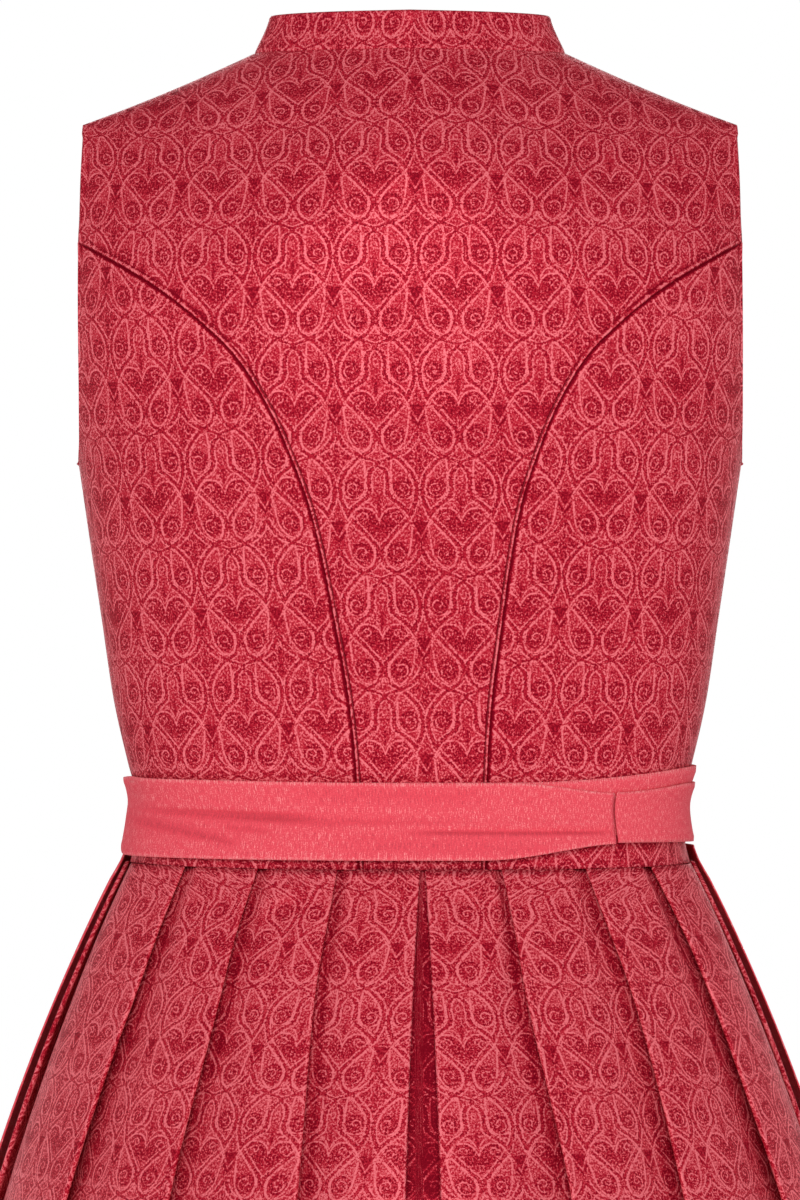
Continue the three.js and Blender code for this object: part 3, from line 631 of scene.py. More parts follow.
def side_panel(name, back, side, columns, rows):
    """A side panel of the back or of the front. side 1 is the wearer's left."""
    top = seam_share(back)
    shares = [j / rows for j in range(rows + 1)]
    seams = [row_end(top * share, back) for share in shares]
    base = row_end(0, back)[0]

    def outer(share):
        height = at(SIDE_EDGE, share, "height")
        if height <= UNDERARM_Z:
            return 90.0, height
        ratio = at(ARMHOLE, height, face(back)) / at(BODY_ROWS, height, "width")
        turn = math.degrees(math.asin(min(1.0, ratio)))
        return (turn if back else 180 - turn), height

    outers = [outer(share) for share in shares]
    starts = []
    for (x, z), (degrees, height) in zip(seams, outers):
        turn = math.degrees(math.asin(min(1.0, (x - SEAM_TUCK) / at(BODY_ROWS, z, "width"))))
        start = turn if back else 180 - turn
        reach = (body_point(start, z) - body_point(degrees, height)).length * SIDE_PANEL["bend"]
        starts.append((start, z, max(reach, SIDE_PANEL["least"])))

    def split(reach):
        near = [min(d / reach, SIDE_PANEL["edge"]) for d in EDGE_STEPS]
        far = [1 - t for t in near][::-1]
        middle = [mix(near[-1], far[0], (n + 1) / (columns + 1)) for n in range(columns)]
        return near + middle + far

    splits = [split(reach) for _, _, reach in starts]
    count = len(splits[0]) - 1

    def where(i, j):
        start, z0, reach = starts[j]
        degrees1, z1 = outers[j]
        t = splits[j][i]
        degrees = mix(start, degrees1, t)
        x = at(BODY_ROWS, WAIST_SEAM["side"], "width") * math.sin(math.radians(degrees))
        bow = waist_z(x) - mix(waist_z(base), WAIST_SEAM["side"], t)
        return degrees, mix(z0, z1, t) + bow * (1 - shares[j]), t, reach

    def place(i, j):
        degrees, z, t, reach = where(i, j)
        above = outers[j][1] > UNDERARM_Z
        lift = beside_edge(EDGE_HEIGHTS["tucked"], t * reach)
        lift += beside_edge(EDGE_HEIGHTS["turned" if above else "rolled"], (1 - t) * reach)
        point = out_from_body(degrees, z, lift - SIDE_PANEL["inset"])
        if back:
            point.y -= crease_depth(BODICE_CREASES, point.x * side, z)
        if i == count and not above:
            point.y = HALF_GAP if back else -HALF_GAP
        point.x *= side
        return point

    repeat = REPEAT_PLACE["side"]
    lay = Flat(back, repeat["zero"])

    def flat(i, j):
        degrees, z, t, _ = where(i, j)
        x, y, _ = body_point(degrees, z)
        u = lay.level(x, z) + max(0.0, SIDE_PANEL["turn"] - abs(y)) * SIDE_PANEL["stretch"]
        v = lay.upright(min(x, SIDE_PANEL["upright"]), z)
        tilt = repeat["tilt"]
        return side * (u + repeat["across"] - v * tilt), v + u * repeat["rise"] + repeat["up"]

    # Painted shade where the side panel runs under the panel beside it, and a painted highlight on the ridge
    # just past it
    def painted_shading(i, j):
        _, _, t, reach = where(i, j)
        return beside_edge(EDGE_PAINTED_SHADING["tucked"], t * reach)

    return grid(name, count, rows, place, flat, painted_shading)


def dress(name, node, make, back, side):
    """Makes one panel of the bodice."""
    grain = PANELS[node.removesuffix("_left").removesuffix("_right")]
    panel = make(name, back, side, grain["columns"], grain["rows"])
    finish_sheet(panel, cloth().jacquard_wall, jacquard(), node)


class DIRNDL_OT_bodice(bpy.types.Operator):
    """Back, side and front panels of the bodice"""

    bl_idname = "dirndl.bodice"
    bl_label = "Bodice"

    def execute(self, context):
        dress("cloth_back_centre", "back_centre", centre_panel, True, 0)
        for side, word in ((1, "left"), (-1, "right")):
            node = f"side_back_{word}"
            dress(f"cloth_{node}", node, side_panel, True, side)
            node = f"side_front_{word}"
            dress(f"cloth_{node}", node, side_panel, False, side)
            node = f"front_{word}"
            dress(f"cloth_{node}", node, centre_panel, False, side)
        return {"FINISHED"}


# Collar


COLLAR_GRID = {"columns": 180, "rows": 16}


def collar_point(t, share):
    """A point of the collar, t from the centre back (0) to the centre front (1), share from seam to edge."""
    back = t <= 0.5
    x = NECK_SIDE_X * math.sin(math.pi * t)
    x = max(x, 0.0 if back else COLLAR["apart"])
    z = neck_z(x, back)
    y = depth_at(x, z, back) if abs(t - 0.5) > COLLAR["side_flat"] else 0.0
    if back:
        height = mix(COLLAR["back"], COLLAR["side"], smooth(t, 0.1, 0.5))
    else:
        height = mix(COLLAR["side"], COLLAR["front"], smooth(t, 0.5, 1.0))
    height *= 1 - COLLAR["rounding"] * smooth(t, COLLAR["rounded_from"], 1.0)
    lean = 1 - COLLAR["lean"] * math.sin(share * math.pi / 2) * mix(COLLAR["lean_low"], 1.0, share)
    middle = COLLAR["middle"]
    return Vector((x * lean, middle + (y - middle) * lean, z + COLLAR["gap"] + height * share))


class DIRNDL_OT_collar(bpy.types.Operator):
    """Stand-up collar"""

    bl_idname = "dirndl.collar"
    bl_label = "Collar"

    def execute(self, context):
        columns, rows = COLLAR_GRID["columns"], COLLAR_GRID["rows"]
        repeat = REPEAT_PLACE["collar"]
        half = columns // 2
        run = [0.0]
        for n in range(half):
            run.append(run[-1] + (collar_point((n + 1) / half, 0) - collar_point(n / half, 0)).length)

        def place(i, j):
            point = collar_point(abs(i - half) / half, j / rows)
            off = min(j, rows - j) / rows * COLLAR["back"]
            out = Vector((point.x, point.y - COLLAR["middle"], 0)).normalized()
            point += out * beside_edge(EDGE_HEIGHTS["collar"], off)
            point.x *= -1 if i < half else 1
            return point

        def flat(i, j):
            side = -1 if i < half else 1
            return side * run[abs(i - half)] + repeat["across"], j / rows * COLLAR["back"] + repeat["up"]

        obj = grid("cloth_collar", columns, rows, place, flat)
        finish_sheet(obj, cloth().collar_wall, jacquard(), "collar")
        return {"FINISHED"}


# Skirt

SKIRT_LENGTH = 650.0
SKIRT_GAP = 0.25
SKIRT_TOP = {"width": 142.5, "back": 95.0, "front": 113.0}
SKIRT_FLARE = {"width": 167.0, "back": 245.0, "front": 245.0, "reach": 330.0}
PLEATS_PER_HALF = 10
PLEAT_CLOTH = 108.0
PLEAT_LAYER = 2.2
PLEAT_DROP = {"middle": 9.0, "end": 15.0, "power": 0.8}
PLEAT_TIP = 0.9
PLEAT_FACE = {"along": 0.55, "least": 1.2, "depth": 0.22, "last": 0.1}
PLEAT_SETTLE = 1.1
SETTLE_FADES = (10, 80)
SWAY_GROWS = (10, 60)
MOST_OVERLAP = 0.79
CENTRE_OPENING = {"seam": 1.2, "more": 12.0, "reach": 170.0}
FOLDS_BELOW_AT = 152.0
FOLDS = {
    1: table("seam below", (1.08, 0.99), (2.14, 2.03), (3.22, 3.17), (4.9, 4.96)),
    -1: table("seam below", (1.0, 1.13), (2.12, 2.15), (3.17, 3.23), (4.9, 4.96)),
}
# How each fold after the first wanders from its line, as a wave down the skirt
FOLD_SWAY = {
    1: table(
        "size wave start",
        (1.3, 210, 0.4), (1.6, 170, 1.9), (1.5, 230, 3.0), (1.2, 190, 0.8), (1.5, 240, 2.2),
    ),
    -1: table(
        "size wave start",
        (1.4, 180, 2.6), (1.5, 240, 0.2), (1.4, 200, 1.5), (1.6, 220, 3.3), (1.1, 170, 0.5),
    ),
}
SKIRT_CREASES = table(
    "x1 z1 x2 z2 width depth",
    (78, -411, 57, -401, 3.0, 1.6),
    (80, -404, 62, -395, 3.0, -0.9),
    (-82, -412, -96, -423, 3.5, 1.3),
    (-8, -400, -40, -405, 3.5, 0.8),
    (60, -470, 26, -520, 9.0, 0.9),
    (-60, -455, -72, -530, 8.0, 1.1),
    (110, -430, 96, -480, 7.0, 1.0),
)
# Rows of the skirt's sheets from the waist down to where the photo ends, and the number below that
SKIRT_ROWS = table("step count", (3.0, 6), (5.5, 32))
SKIRT_FAR_ROWS = 20
SIDE_PLEAT = 4
SIDE_SEAM_POINT = 2 + 8 * SIDE_PLEAT + 2
SIDE_SEAM_INSET = 1.5
SIDE_SEAM_GAP = 1.0


def skirt_section(drop):
    """Half axes of the skirt's outer form."""
    grow = 1 - math.exp(-drop / SKIRT_FLARE["reach"])
    return {key: SKIRT_TOP[key] + SKIRT_FLARE[key] * grow for key in ("width", "back", "front")}


def skirt_point(section, degrees, out):
    """A point of the skirt's outer form in plan, moved out."""
    phi = math.radians(degrees)
    depth = section["back"] if math.cos(phi) >= 0 else section["front"]
    x, y = section["width"] * math.sin(phi), depth * math.cos(phi)
    nx, ny = x / section["width"] ** 2, y / depth**2
    size_of = math.hypot(nx, ny)
    return x + nx / size_of * out, y + ny / size_of * out


def arc_table(section):
    """Angles against distance along one half of a section."""
    arcs = [(0.0, 0.0)]
    before = skirt_point(section, 0, 0)
    for n in range(1, 181):
        here = skirt_point(section, n, 0)
        arcs.append((arcs[-1][0] + math.dist(here, before), float(n)))
        before = here
    return arcs


def degrees_at(arcs, along):
    """The angle a distance along one half of a section."""
    low, high = 1, len(arcs) - 1
    while low < high:
        n = (low + high) // 2
        if arcs[n][0] < along:
            low = n + 1
        else:
            high = n
    a, b = arcs[low - 1], arcs[low]
    return mix(a[1], b[1], (along - a[0]) / (b[0] - a[0]))


def overlap_of(pitch, depth):
    """How far one pleat's folds overlap, so that its cloth keeps its length."""
    low, high = 0.0, PLEAT_CLOTH
    for _ in range(HALVINGS):
        overlap = (low + high) / 2
        if math.hypot(pitch + overlap, depth) + math.hypot(overlap, depth) < PLEAT_CLOTH:
            low = overlap
        else:
            high = overlap
    return low


def fold_at(k, drop, pitch, side):
    """Distance of fold k from the centre back."""
    if k == 0:
        opened = 1 - math.exp(-drop / CENTRE_OPENING["reach"])
        return CENTRE_OPENING["seam"] + CENTRE_OPENING["more"] * opened
    share = min(1.0, drop / FOLDS_BELOW_AT)
    known = [mix(row["seam"], row["below"], share) for row in FOLDS[side]]
    count = len(known)
    if k <= count:
        place = pitch * known[k - 1]
    else:
        place = pitch * mix(known[-1], PLEATS_PER_HALF, (k - count) / (PLEATS_PER_HALF - count))
    if k <= len(FOLD_SWAY[side]):
        sway = FOLD_SWAY[side][k - 1]
        turn = drop / sway["wave"] * 2 * math.pi + sway["start"]
        place += sway["size"] * smooth(drop, *SWAY_GROWS) * math.sin(turn)
    return place


def pleat_path(drop, half, side):
    """One half of one level of the skirt, as pairs of distance along and depth behind the form."""
    pitch = half / PLEATS_PER_HALF
    down = drop / SKIRT_LENGTH
    layer = PLEAT_LAYER * (1 + down)
    middle = 2 * layer + PLEAT_DROP["middle"] * down ** PLEAT_DROP["power"]
    end = 2 * layer + PLEAT_DROP["end"] * down ** PLEAT_DROP["power"]
    overlap = min(overlap_of(pitch, end - layer), MOST_OVERLAP * pitch)
    settle = PLEAT_SETTLE * (1 - smooth(drop, *SETTLE_FADES))
    folds = [fold_at(k, drop, pitch, side) for k in range(PLEATS_PER_HALF + 1)]
    path = [(0.0, end + 0.5), ((folds[0] + overlap) / 2, end)]
    for k in range(PLEATS_PER_HALF):
        edge, after = folds[k], folds[k + 1]
        inside = edge + overlap
        face_at = edge + max(PLEAT_FACE["along"] * (after - edge), overlap + PLEAT_FACE["least"])
        path += [
            (inside - PLEAT_TIP, end),
            (inside, end - layer / 2),
            (inside - PLEAT_TIP, end - layer),
            (edge + PLEAT_TIP, layer),
            (edge, layer / 2),
            (edge + PLEAT_TIP, 0.0),
            (face_at, middle * PLEAT_FACE["depth"] - settle),
            (after, middle),
        ]
    path.pop()
    path.append((half, middle * PLEAT_FACE["last"]))
    return path


# Steps between one corner of a pleat and the next, in the order of its path
PLEAT_STEPS = (3, 3, 4, 3, 3, 10, 6, 4)
FIRST_CORNERS = 2
FIRST_STEPS = 4
# Painted shade inside the opening between the two middle pleats
OPENING_PAINTED_SHADE = -1.1
# Painted light that lifts the whole skirt's colour, painted shade in the skirt's creases, and the drop over
# which the pleats' painted shading grows in
SKIRT_PAINTED_LIGHT = 0.17
SKIRT_CREASE_PAINTED_SHADE = 0.15
PAINTED_SHADING_GROWS = (-30, 60)
# The corners of a pleat from which its face rises, from which it runs under the next fold, and inside it
CREST, UNDER, INSIDE = 5, 6, (0, 1, 2, 7)
# Painted highlight along a fold's crest, painted shadow where the pleat runs under the next fold, and painted
# shade inside the pleat
CREST_PAINTED_HIGHLIGHT = {"size": 0.55, "from": 0.8, "to": 2.6}
UNDER_FOLD_PAINTED_SHADOW = {"size": -1.5, "from": 0.5, "to": 7}
INSIDE_PAINTED_SHADE = -0.3


def fold_painted_shading(corner, start, end):
    """Painted shading of a pleat between two corners: painted highlight along its fold, painted shadow where
    it runs under the next fold and painted shade inside it.

    start and end are the distances from the two corners.
    """
    if corner == CREST:
        return CREST_PAINTED_HIGHLIGHT["size"] * (1 - smooth(start, CREST_PAINTED_HIGHLIGHT["from"], CREST_PAINTED_HIGHLIGHT["to"]))
    if corner == UNDER:
        return UNDER_FOLD_PAINTED_SHADOW["size"] * (1 - smooth(end, UNDER_FOLD_PAINTED_SHADOW["from"], UNDER_FOLD_PAINTED_SHADOW["to"]))
    return INSIDE_PAINTED_SHADE if corner in INSIDE else 0.0


def eased(path, first=0):
    """The path with curved corners, each point with its painted shading. first is the number of its first
    corner.
    """
    out = []
    for n in range(len(path) - 1):
        p0, p1, p2 = path[max(n - 1, 0)], path[n], path[n + 1]
        p3 = path[min(n + 2, len(path) - 1)]
        opening = n + first < FIRST_CORNERS
        corner = (n + first - FIRST_CORNERS) % len(PLEAT_STEPS)
        steps = FIRST_STEPS if opening else PLEAT_STEPS[corner]
        length = math.dist(p1, p2)

        def way(a, b, c):
            """Direction at b, short enough for the shorter neighbour."""
            dx, dy = c[0] - a[0], c[1] - a[1]
            size_of = math.hypot(dx, dy) or 1.0
            reach = min(length, math.dist(a, b) or length, math.dist(b, c) or length)
            return dx / size_of * reach, dy / size_of * reach

        m1, m2 = way(p0, p1, p2), way(p1, p2, p3)
        for s in range(steps):
            t = s / steps
            h1, h2 = 2 * t**3 - 3 * t**2 + 1, t**3 - 2 * t**2 + t
            h3, h4 = 3 * t**2 - 2 * t**3, t**3 - t**2
            spot = [h1 * p1[c] + h2 * m1[c] + h3 * p2[c] + h4 * m2[c] for c in (0, 1)]
            shade = OPENING_PAINTED_SHADE if opening else fold_painted_shading(corner, t * length, (1 - t) * length)
            out.append((*spot, shade))
    out.append((*path[-1], 0.0))
    return out


def skirt_level(drop, side, is_back):
    """One level of one half of the skirt in plan, with the length of cloth up to each point."""
    section = skirt_section(drop)
    arcs = arc_table(section)
    half = arcs[-1][0]
    path = pleat_path(drop, half, side)
    a, b = path[SIDE_SEAM_POINT], path[SIDE_SEAM_POINT + 1]
    length = math.dist(a, b)

    def split(distance):
        return tuple(mix(a[c], b[c], distance / length) for c in (0, 1))

    if is_back:
        line = eased(path[: SIDE_SEAM_POINT + 1] + [split(SIDE_SEAM_INSET)])
    else:
        lead = [split(SIDE_SEAM_INSET + SIDE_SEAM_GAP)] + path[SIDE_SEAM_POINT + 1 :]
        line = eased(lead, SIDE_SEAM_POINT)
    cloth_run, run = [0.0], 0.0
    for p, q in zip(line, line[1:]):
        run += math.dist(p[:2], q[:2])
        cloth_run.append(run)
    points = []
    for along, depth, shade in line:
        x, y = skirt_point(section, degrees_at(arcs, clamp(along, 0.0, half)), -depth)
        points.append((side * x, y, shade * smooth(drop, *PAINTED_SHADING_GROWS)))
    return points, cloth_run


def skirt_piece(name, is_back, drops):
    """The back or front half of the skirt."""
    levels = []
    for drop in drops:
        left, left_run = skirt_level(drop, 1, is_back)
        right, right_run = skirt_level(drop, -1, is_back)
        if is_back:
            points = right[:0:-1] + left
            run = [-r for r in right_run[:0:-1]] + left_run
        else:
            total = left_run[-1]
            points = left + right[-2::-1]
            run = [r - total for r in left_run] + [right_run[-1] - r for r in right_run[-2::-1]]
        levels.append((points, run))
    fall = [0.0]
    for n in range(1, len(drops)):
        spread = skirt_section(drops[n])["back"] - skirt_section(drops[n - 1])["back"]
        fall.append(fall[-1] + math.hypot(drops[n] - drops[n - 1], spread))
    rows, columns = len(drops) - 1, len(levels[0][0]) - 1

    def place(i, j):
        drop = drops[rows - j]
        x, y, _ = levels[rows - j][0][i]
        z = waist_z(x) - SKIRT_GAP - drop
        if is_back and y > 0:
            y -= crease_depth(SKIRT_CREASES, x, z)
        return Vector((x, y, z))

    def flat(i, j):
        run = levels[rows - j][1][i]
        shift = REPEAT_PLACE["skirt"]
        return run + shift["left" if run > 0 else "right"], shift["up"] - fall[rows - j]

    # Painted light over the whole skirt, the pleats' painted highlight and painted shadow, and painted shade
    # in the creases
    def painted_shading(i, j):
        x, y, shade = levels[rows - j][0][i]
        z = waist_z(x) - SKIRT_GAP - drops[rows - j]
        crease = crease_depth(SKIRT_CREASES, x, z) if is_back and y > 0 else 0.0
        return SKIRT_PAINTED_LIGHT + shade - SKIRT_CREASE_PAINTED_SHADE * crease

    return grid(name, columns, rows, place, flat, painted_shading)


class DIRNDL_OT_skirt(bpy.types.Operator):
    """Pleated skirt, back and front"""

    bl_idname = "dirndl.skirt"
    bl_label = "Skirt"

    def execute(self, context):
        red = jacquard()
        wall = cloth().jacquard_wall
        near = [0.0]
        for row in SKIRT_ROWS:
            near += [near[-1] + row["step"] * (n + 1) for n in range(row["count"])]
        far = [mix(near[-1], SKIRT_LENGTH, (n + 1) / SKIRT_FAR_ROWS) for n in range(SKIRT_FAR_ROWS)]
        back = skirt_piece("cloth_skirt_back", True, near + far)
        finish_sheet(back, wall, red, "skirt_back")
        front = skirt_piece("cloth_skirt_front", False, near[::3] + far)
        finish_sheet(front, wall, red, "skirt_front")
        return {"FINISHED"}


# Apron, waistband and ties

APRON = {"top": -377.6, "bottom": -1008.0, "left": 92.0, "right": 267.0, "waves": 12, "clear": 2.3}
# How deep the apron's waves are at the waist and at the hem, and how they grow between
WAVES = {"waist": 0.9, "hem": 7.5, "power": 0.7, "uneven": 0.9}
GATHERS = {"depth": 0.35, "turns": 140, "reach": 45.0}
# Heights over which the apron goes over from the skirt's form to the bodice's
APRON_JOIN = {"from": -393.0, "to": -378.5, "fold": 0.3}
# Cloth in the width of the apron from the centre front to the centre back
APRON_CLOTH = 1010.0
APRON_GRID = {"columns": 288, "rows": 56, "power": 1.5}
BAND = {"start": -43.3, "end": -265.6, "top": -344.5, "bottom": -376.6, "inner": 3.7}
BAND_HEIGHT = 34.0
BAND_MIDDLE = -360.0
BAND_WALL = 1.0
# Painted shade in the ties' creases
BAND_CREASE_PAINTED_SHADE = 0.6
WAISTBAND_GRID = {"columns": 170, "rows": 14}
TIE_OVER_GRID = {"columns": 210, "rows": 44}
TIE_UNDER_GRID = {"columns": 220, "rows": 12}
TAIL_GRID = {"columns": 14, "rows": 60}
TIE_OVER = {"start": -42.7, "end": 139.0, "inner": 3.7, "over_band": 6.2, "at_knot": 10.0}
TIE_UNDER = {"start": 98.0, "end": -212.0, "inner": 1.8, "bottom": -371.0}
KNOT = {"phi": 145.5, "z": -361.0, "width": 30.0, "height": 37.0, "depth": 13.0, "inner": 7.0, "clear": 1.4}
KNOT_GRID = {"segments": 48, "rings": 32}
KNOT_FOLDS = {"depth": 0.06, "turns": 9, "slant": 3, "waist": 0.16, "waist_reach": 0.35}
KNOT_SQUARE = {"power": -0.2, "most": 1.6, "until": 0.97}
TAIL = {"width": 41.0, "slant": 16.0, "below": 0.6, "pinched": 0.45, "clear": 3.1}
TAIL_WAVE = {"depth": 1.5, "turns": 9, "least": 0.3}
TAIL_PINCH = {"depth": 0.8, "waves": 2, "reach": 0.35}
TAILS = table(
    "word top bottom length lift",
    ("inner", 146.5, 149.0, 300.0, 0.0),
    ("outer", 144.5, 142.0, 340.0, 4.4),
)


def drop_to(z):
    """How far a height lies below the waist seam."""
    return max(0.0, WAIST_SEAM["side"] - WAIST_SEAM["dip"] - z)


def wave_depth(drop):
    """Depth of the apron's waves at a drop."""
    return mix(WAVES["waist"], WAVES["hem"], (drop / SKIRT_LENGTH) ** WAVES["power"])


def apron_point(degrees, z, out):
    """A point of the apron's inner face, moved out."""
    drop = drop_to(z)
    turn = math.radians(degrees - 180)
    crest = 0.5 - 0.5 * math.cos(2 * APRON["waves"] * turn + WAVES["uneven"] * math.sin(3 * turn))
    fold = wave_depth(drop) * crest
    gather = math.cos(GATHERS["turns"] * turn + 2 * math.sin(5 * turn))
    gather *= GATHERS["depth"] * bump(drop, GATHERS["reach"])
    sx, sy = skirt_point(skirt_section(drop), degrees, APRON["clear"] + fold + gather + out)
    body = out_from_body(degrees, z, BAND["inner"] + fold * APRON_JOIN["fold"] + gather + out)
    share = smooth(z, APRON_JOIN["from"], APRON_JOIN["to"])
    return Vector((mix(sx, body.x, share), mix(sy, body.y, share), z))


def band(name, form, size_of, edges, lift, creases=()):
    """A band round the waist between two angles, with the points that size_of gives."""
    columns, rows = size_of["columns"], size_of["rows"]
    turns = [mix(form["start"], form["end"], i / columns) for i in range(columns + 1)]
    middle = [out_from_body(degrees, BAND_MIDDLE, lift(degrees, 0.5)) for degrees in turns]
    run = [0.0]
    for p, q in zip(middle, middle[1:]):
        run.append(run[-1] + (q - p).length)

    def place(i, j):
        degrees, t = turns[i], j / rows
        top, bottom = edges(degrees)
        z = mix(bottom, top, t)
        out = lift(degrees, t) + beside_edge(EDGE_HEIGHTS["band"], min(t, 1 - t) * (top - bottom))
        point = out_from_body(degrees, z, out)
        deep = crease_depth(creases, point.x, z) if math.cos(math.radians(degrees)) > 0 else 0.0
        return out_from_body(degrees, z, out - deep)

    def flat(i, j):
        return run[i], j / rows * BAND_HEIGHT

    # Painted highlight along the band's edges and painted shade in its creases
    def painted_shading(i, j):
        point = place(i, j)
        deep = crease_depth(creases, point.x, point.z) if point.y > 0 else 0.0
        off = min(j, rows - j) / rows * BAND_HEIGHT
        return beside_edge(EDGE_PAINTED_SHADING["band"], off) - BAND_CREASE_PAINTED_SHADE * max(deep, 0.0)

    return grid(name, columns, rows, place, flat, painted_shading)


TIE_CREASES = table(
    "x1 z1 x2 z2 width depth",
    (5, -368.5, -93, -369, 1.2, 1.3),
    (30, -366, -93, -365.5, 2.2, -0.5),
    (132, -359.0, 56, -362.0, 1.9, 1.1),
    (132, -355.5, 70, -357, 2.6, -0.4),
    (138, -364, 92, -374, 2.4, 1.0),
    (98, -366, 74, -368.5, 1.8, 0.6),
    (104, -361, -30, -365.5, 2.6, 0.6),
    (60, -350, -30, -352, 4.0, 0.4),
    (40, -374, -60, -375.5, 4.0, 0.4),
)


# How the bands' edges and places change round the body, by the angles between which each step lies
RAMP_KEYS = "from to first last"
OVER_TOP = table(RAMP_KEYS, (-43, -18, -349, -344), (0, 70, 0, 1.8))
OVER_BOTTOM = table(RAMP_KEYS, (-43, -12, -375.5, -383), (84, 104, 0, 7))
OVER_OUT = table(
    RAMP_KEYS,
    (80, 96, TIE_OVER["inner"], TIE_OVER["over_band"]),
    (124, 139, 0, TIE_OVER["at_knot"] - TIE_OVER["over_band"]),
)
OVER_CLOSE = {"depth": 3.0, "from": 0.4, "to": 1.0, "degrees": 84, "reach": 12}
UNDER_LEVEL = -20
UNDER_TOP = table(RAMP_KEYS, (18, 80, -344, -337))
BAND_TOP = table(RAMP_KEYS, (43, 75, -348.6, BAND["top"]))
BAND_BOTTOM = table(RAMP_KEYS, (43, 120, -375, BAND["bottom"]))


def over_edges(degrees):
    """Upper and lower edge of the outer tie."""
    return ramps(OVER_TOP, degrees), ramps(OVER_BOTTOM, degrees)


def over_lift(degrees, up):
    """Distance of the outer tie's outer face from the bodice, less along its upper edge at the side."""
    close = bump(degrees - OVER_CLOSE["degrees"], OVER_CLOSE["reach"])
    close *= smooth(up, OVER_CLOSE["from"], OVER_CLOSE["to"])
    return ramps(OVER_OUT, degrees) + BAND_WALL - OVER_CLOSE["depth"] * close


def under_edges(degrees):
    """Upper and lower edge of the inner tie."""
    return ramps(UNDER_TOP, 0 if degrees > UNDER_LEVEL else -degrees), TIE_UNDER["bottom"]


def band_edges(degrees):
    """Upper and lower edge of the waistband."""
    return ramps(BAND_TOP, -degrees), ramps(BAND_BOTTOM, -degrees)


class DIRNDL_OT_apron(bpy.types.Operator):
    """Apron panel and its waistband"""

    bl_idname = "dirndl.apron"
    bl_label = "Apron"

    def execute(self, context):
        plain = apron_cloth()
        wall = cloth().apron_wall
        columns, rows = APRON_GRID["columns"], APRON_GRID["rows"]
        drops = [(j / rows) ** APRON_GRID["power"] for j in range(rows + 1)]
        span = APRON["top"] - APRON["bottom"]

        def spot(i, j):
            z = APRON["top"] - span * drops[rows - j]
            return mix(APRON["left"], APRON["right"], i / columns), z

        def place(i, j):
            degrees, z = spot(i, j)
            return apron_point(degrees, z, wall / MM)

        def flat(i, j):
            degrees, z = spot(i, j)
            return (degrees - 180) / 180 * APRON_CLOTH, z

        panel = grid("cloth_apron_panel", columns, rows, place, flat)
        finish_sheet(panel, wall, plain, "apron_panel")
        lift = BAND["inner"] + BAND_WALL
        waist = band("cloth_apron_waistband", BAND, WAISTBAND_GRID, band_edges, lambda degrees, up: lift)
        finish_sheet(waist, wall, plain, "apron_waistband")
        return {"FINISHED"}


def tail_point(row, t, share):
    """A point of a tie's hanging end: t from the knot down, share across it."""
    z = KNOT["z"] - KNOT["height"] / 2 - TAIL["below"] - t * row["length"]
    z -= TAIL["slant"] * (share + 0.5) * t**8
    drop = drop_to(z)
    section = skirt_section(drop)
    width = TAIL["width"] * mix(TAIL["pinched"], 1, smooth(t, 0, 0.3))
    turn = math.degrees(share * width / ((section["width"] + section["front"]) / 2))
    wave = TAIL_WAVE["depth"] * math.sin(t * TAIL_WAVE["turns"]) * (TAIL_WAVE["least"] + t)
    pinch = TAIL_PINCH["depth"] * math.cos(share * 2 * math.pi * TAIL_PINCH["waves"])
    pinch *= 1 - smooth(t, 0, TAIL_PINCH["reach"])
    out = wave_depth(drop) + APRON["clear"] + TAIL["clear"] + row["lift"] + BAND_WALL + wave + pinch
    return Vector((*skirt_point(section, mix(row["top"], row["bottom"], t) + turn, out), z))


class DIRNDL_OT_ties(bpy.types.Operator):
    """Outer and inner tie, their knot and hanging ends"""

    bl_idname = "dirndl.ties"
    bl_label = "Ties"

    def execute(self, context):
        plain = apron_cloth()
        wall = cloth().apron_wall
        over = band("cloth_tie_over", TIE_OVER, TIE_OVER_GRID, over_edges, over_lift, TIE_CREASES)
        finish_sheet(over, wall, plain, "tie_over")
        lift = TIE_UNDER["inner"] + BAND_WALL
        under = band("cloth_tie_under", TIE_UNDER, TIE_UNDER_GRID, under_edges, lambda degrees, up: lift)
        finish_sheet(under, wall, plain, "tie_under")
        columns, rows = TAIL_GRID["columns"], TAIL_GRID["rows"]
        for row in TAILS:

            def place(i, j):
                return tail_point(row, 1 - j / rows, i / columns - 0.5)

            def flat(i, j):
                return i / columns * TAIL["width"], j / rows * row["length"]

            word = row["word"]
            tail = grid(f"cloth_tie_tail_{word}", columns, rows, place, flat)
            finish_sheet(tail, wall, plain, f"tie_tail_{word}")
        make_knot(plain)
        return {"FINISHED"}


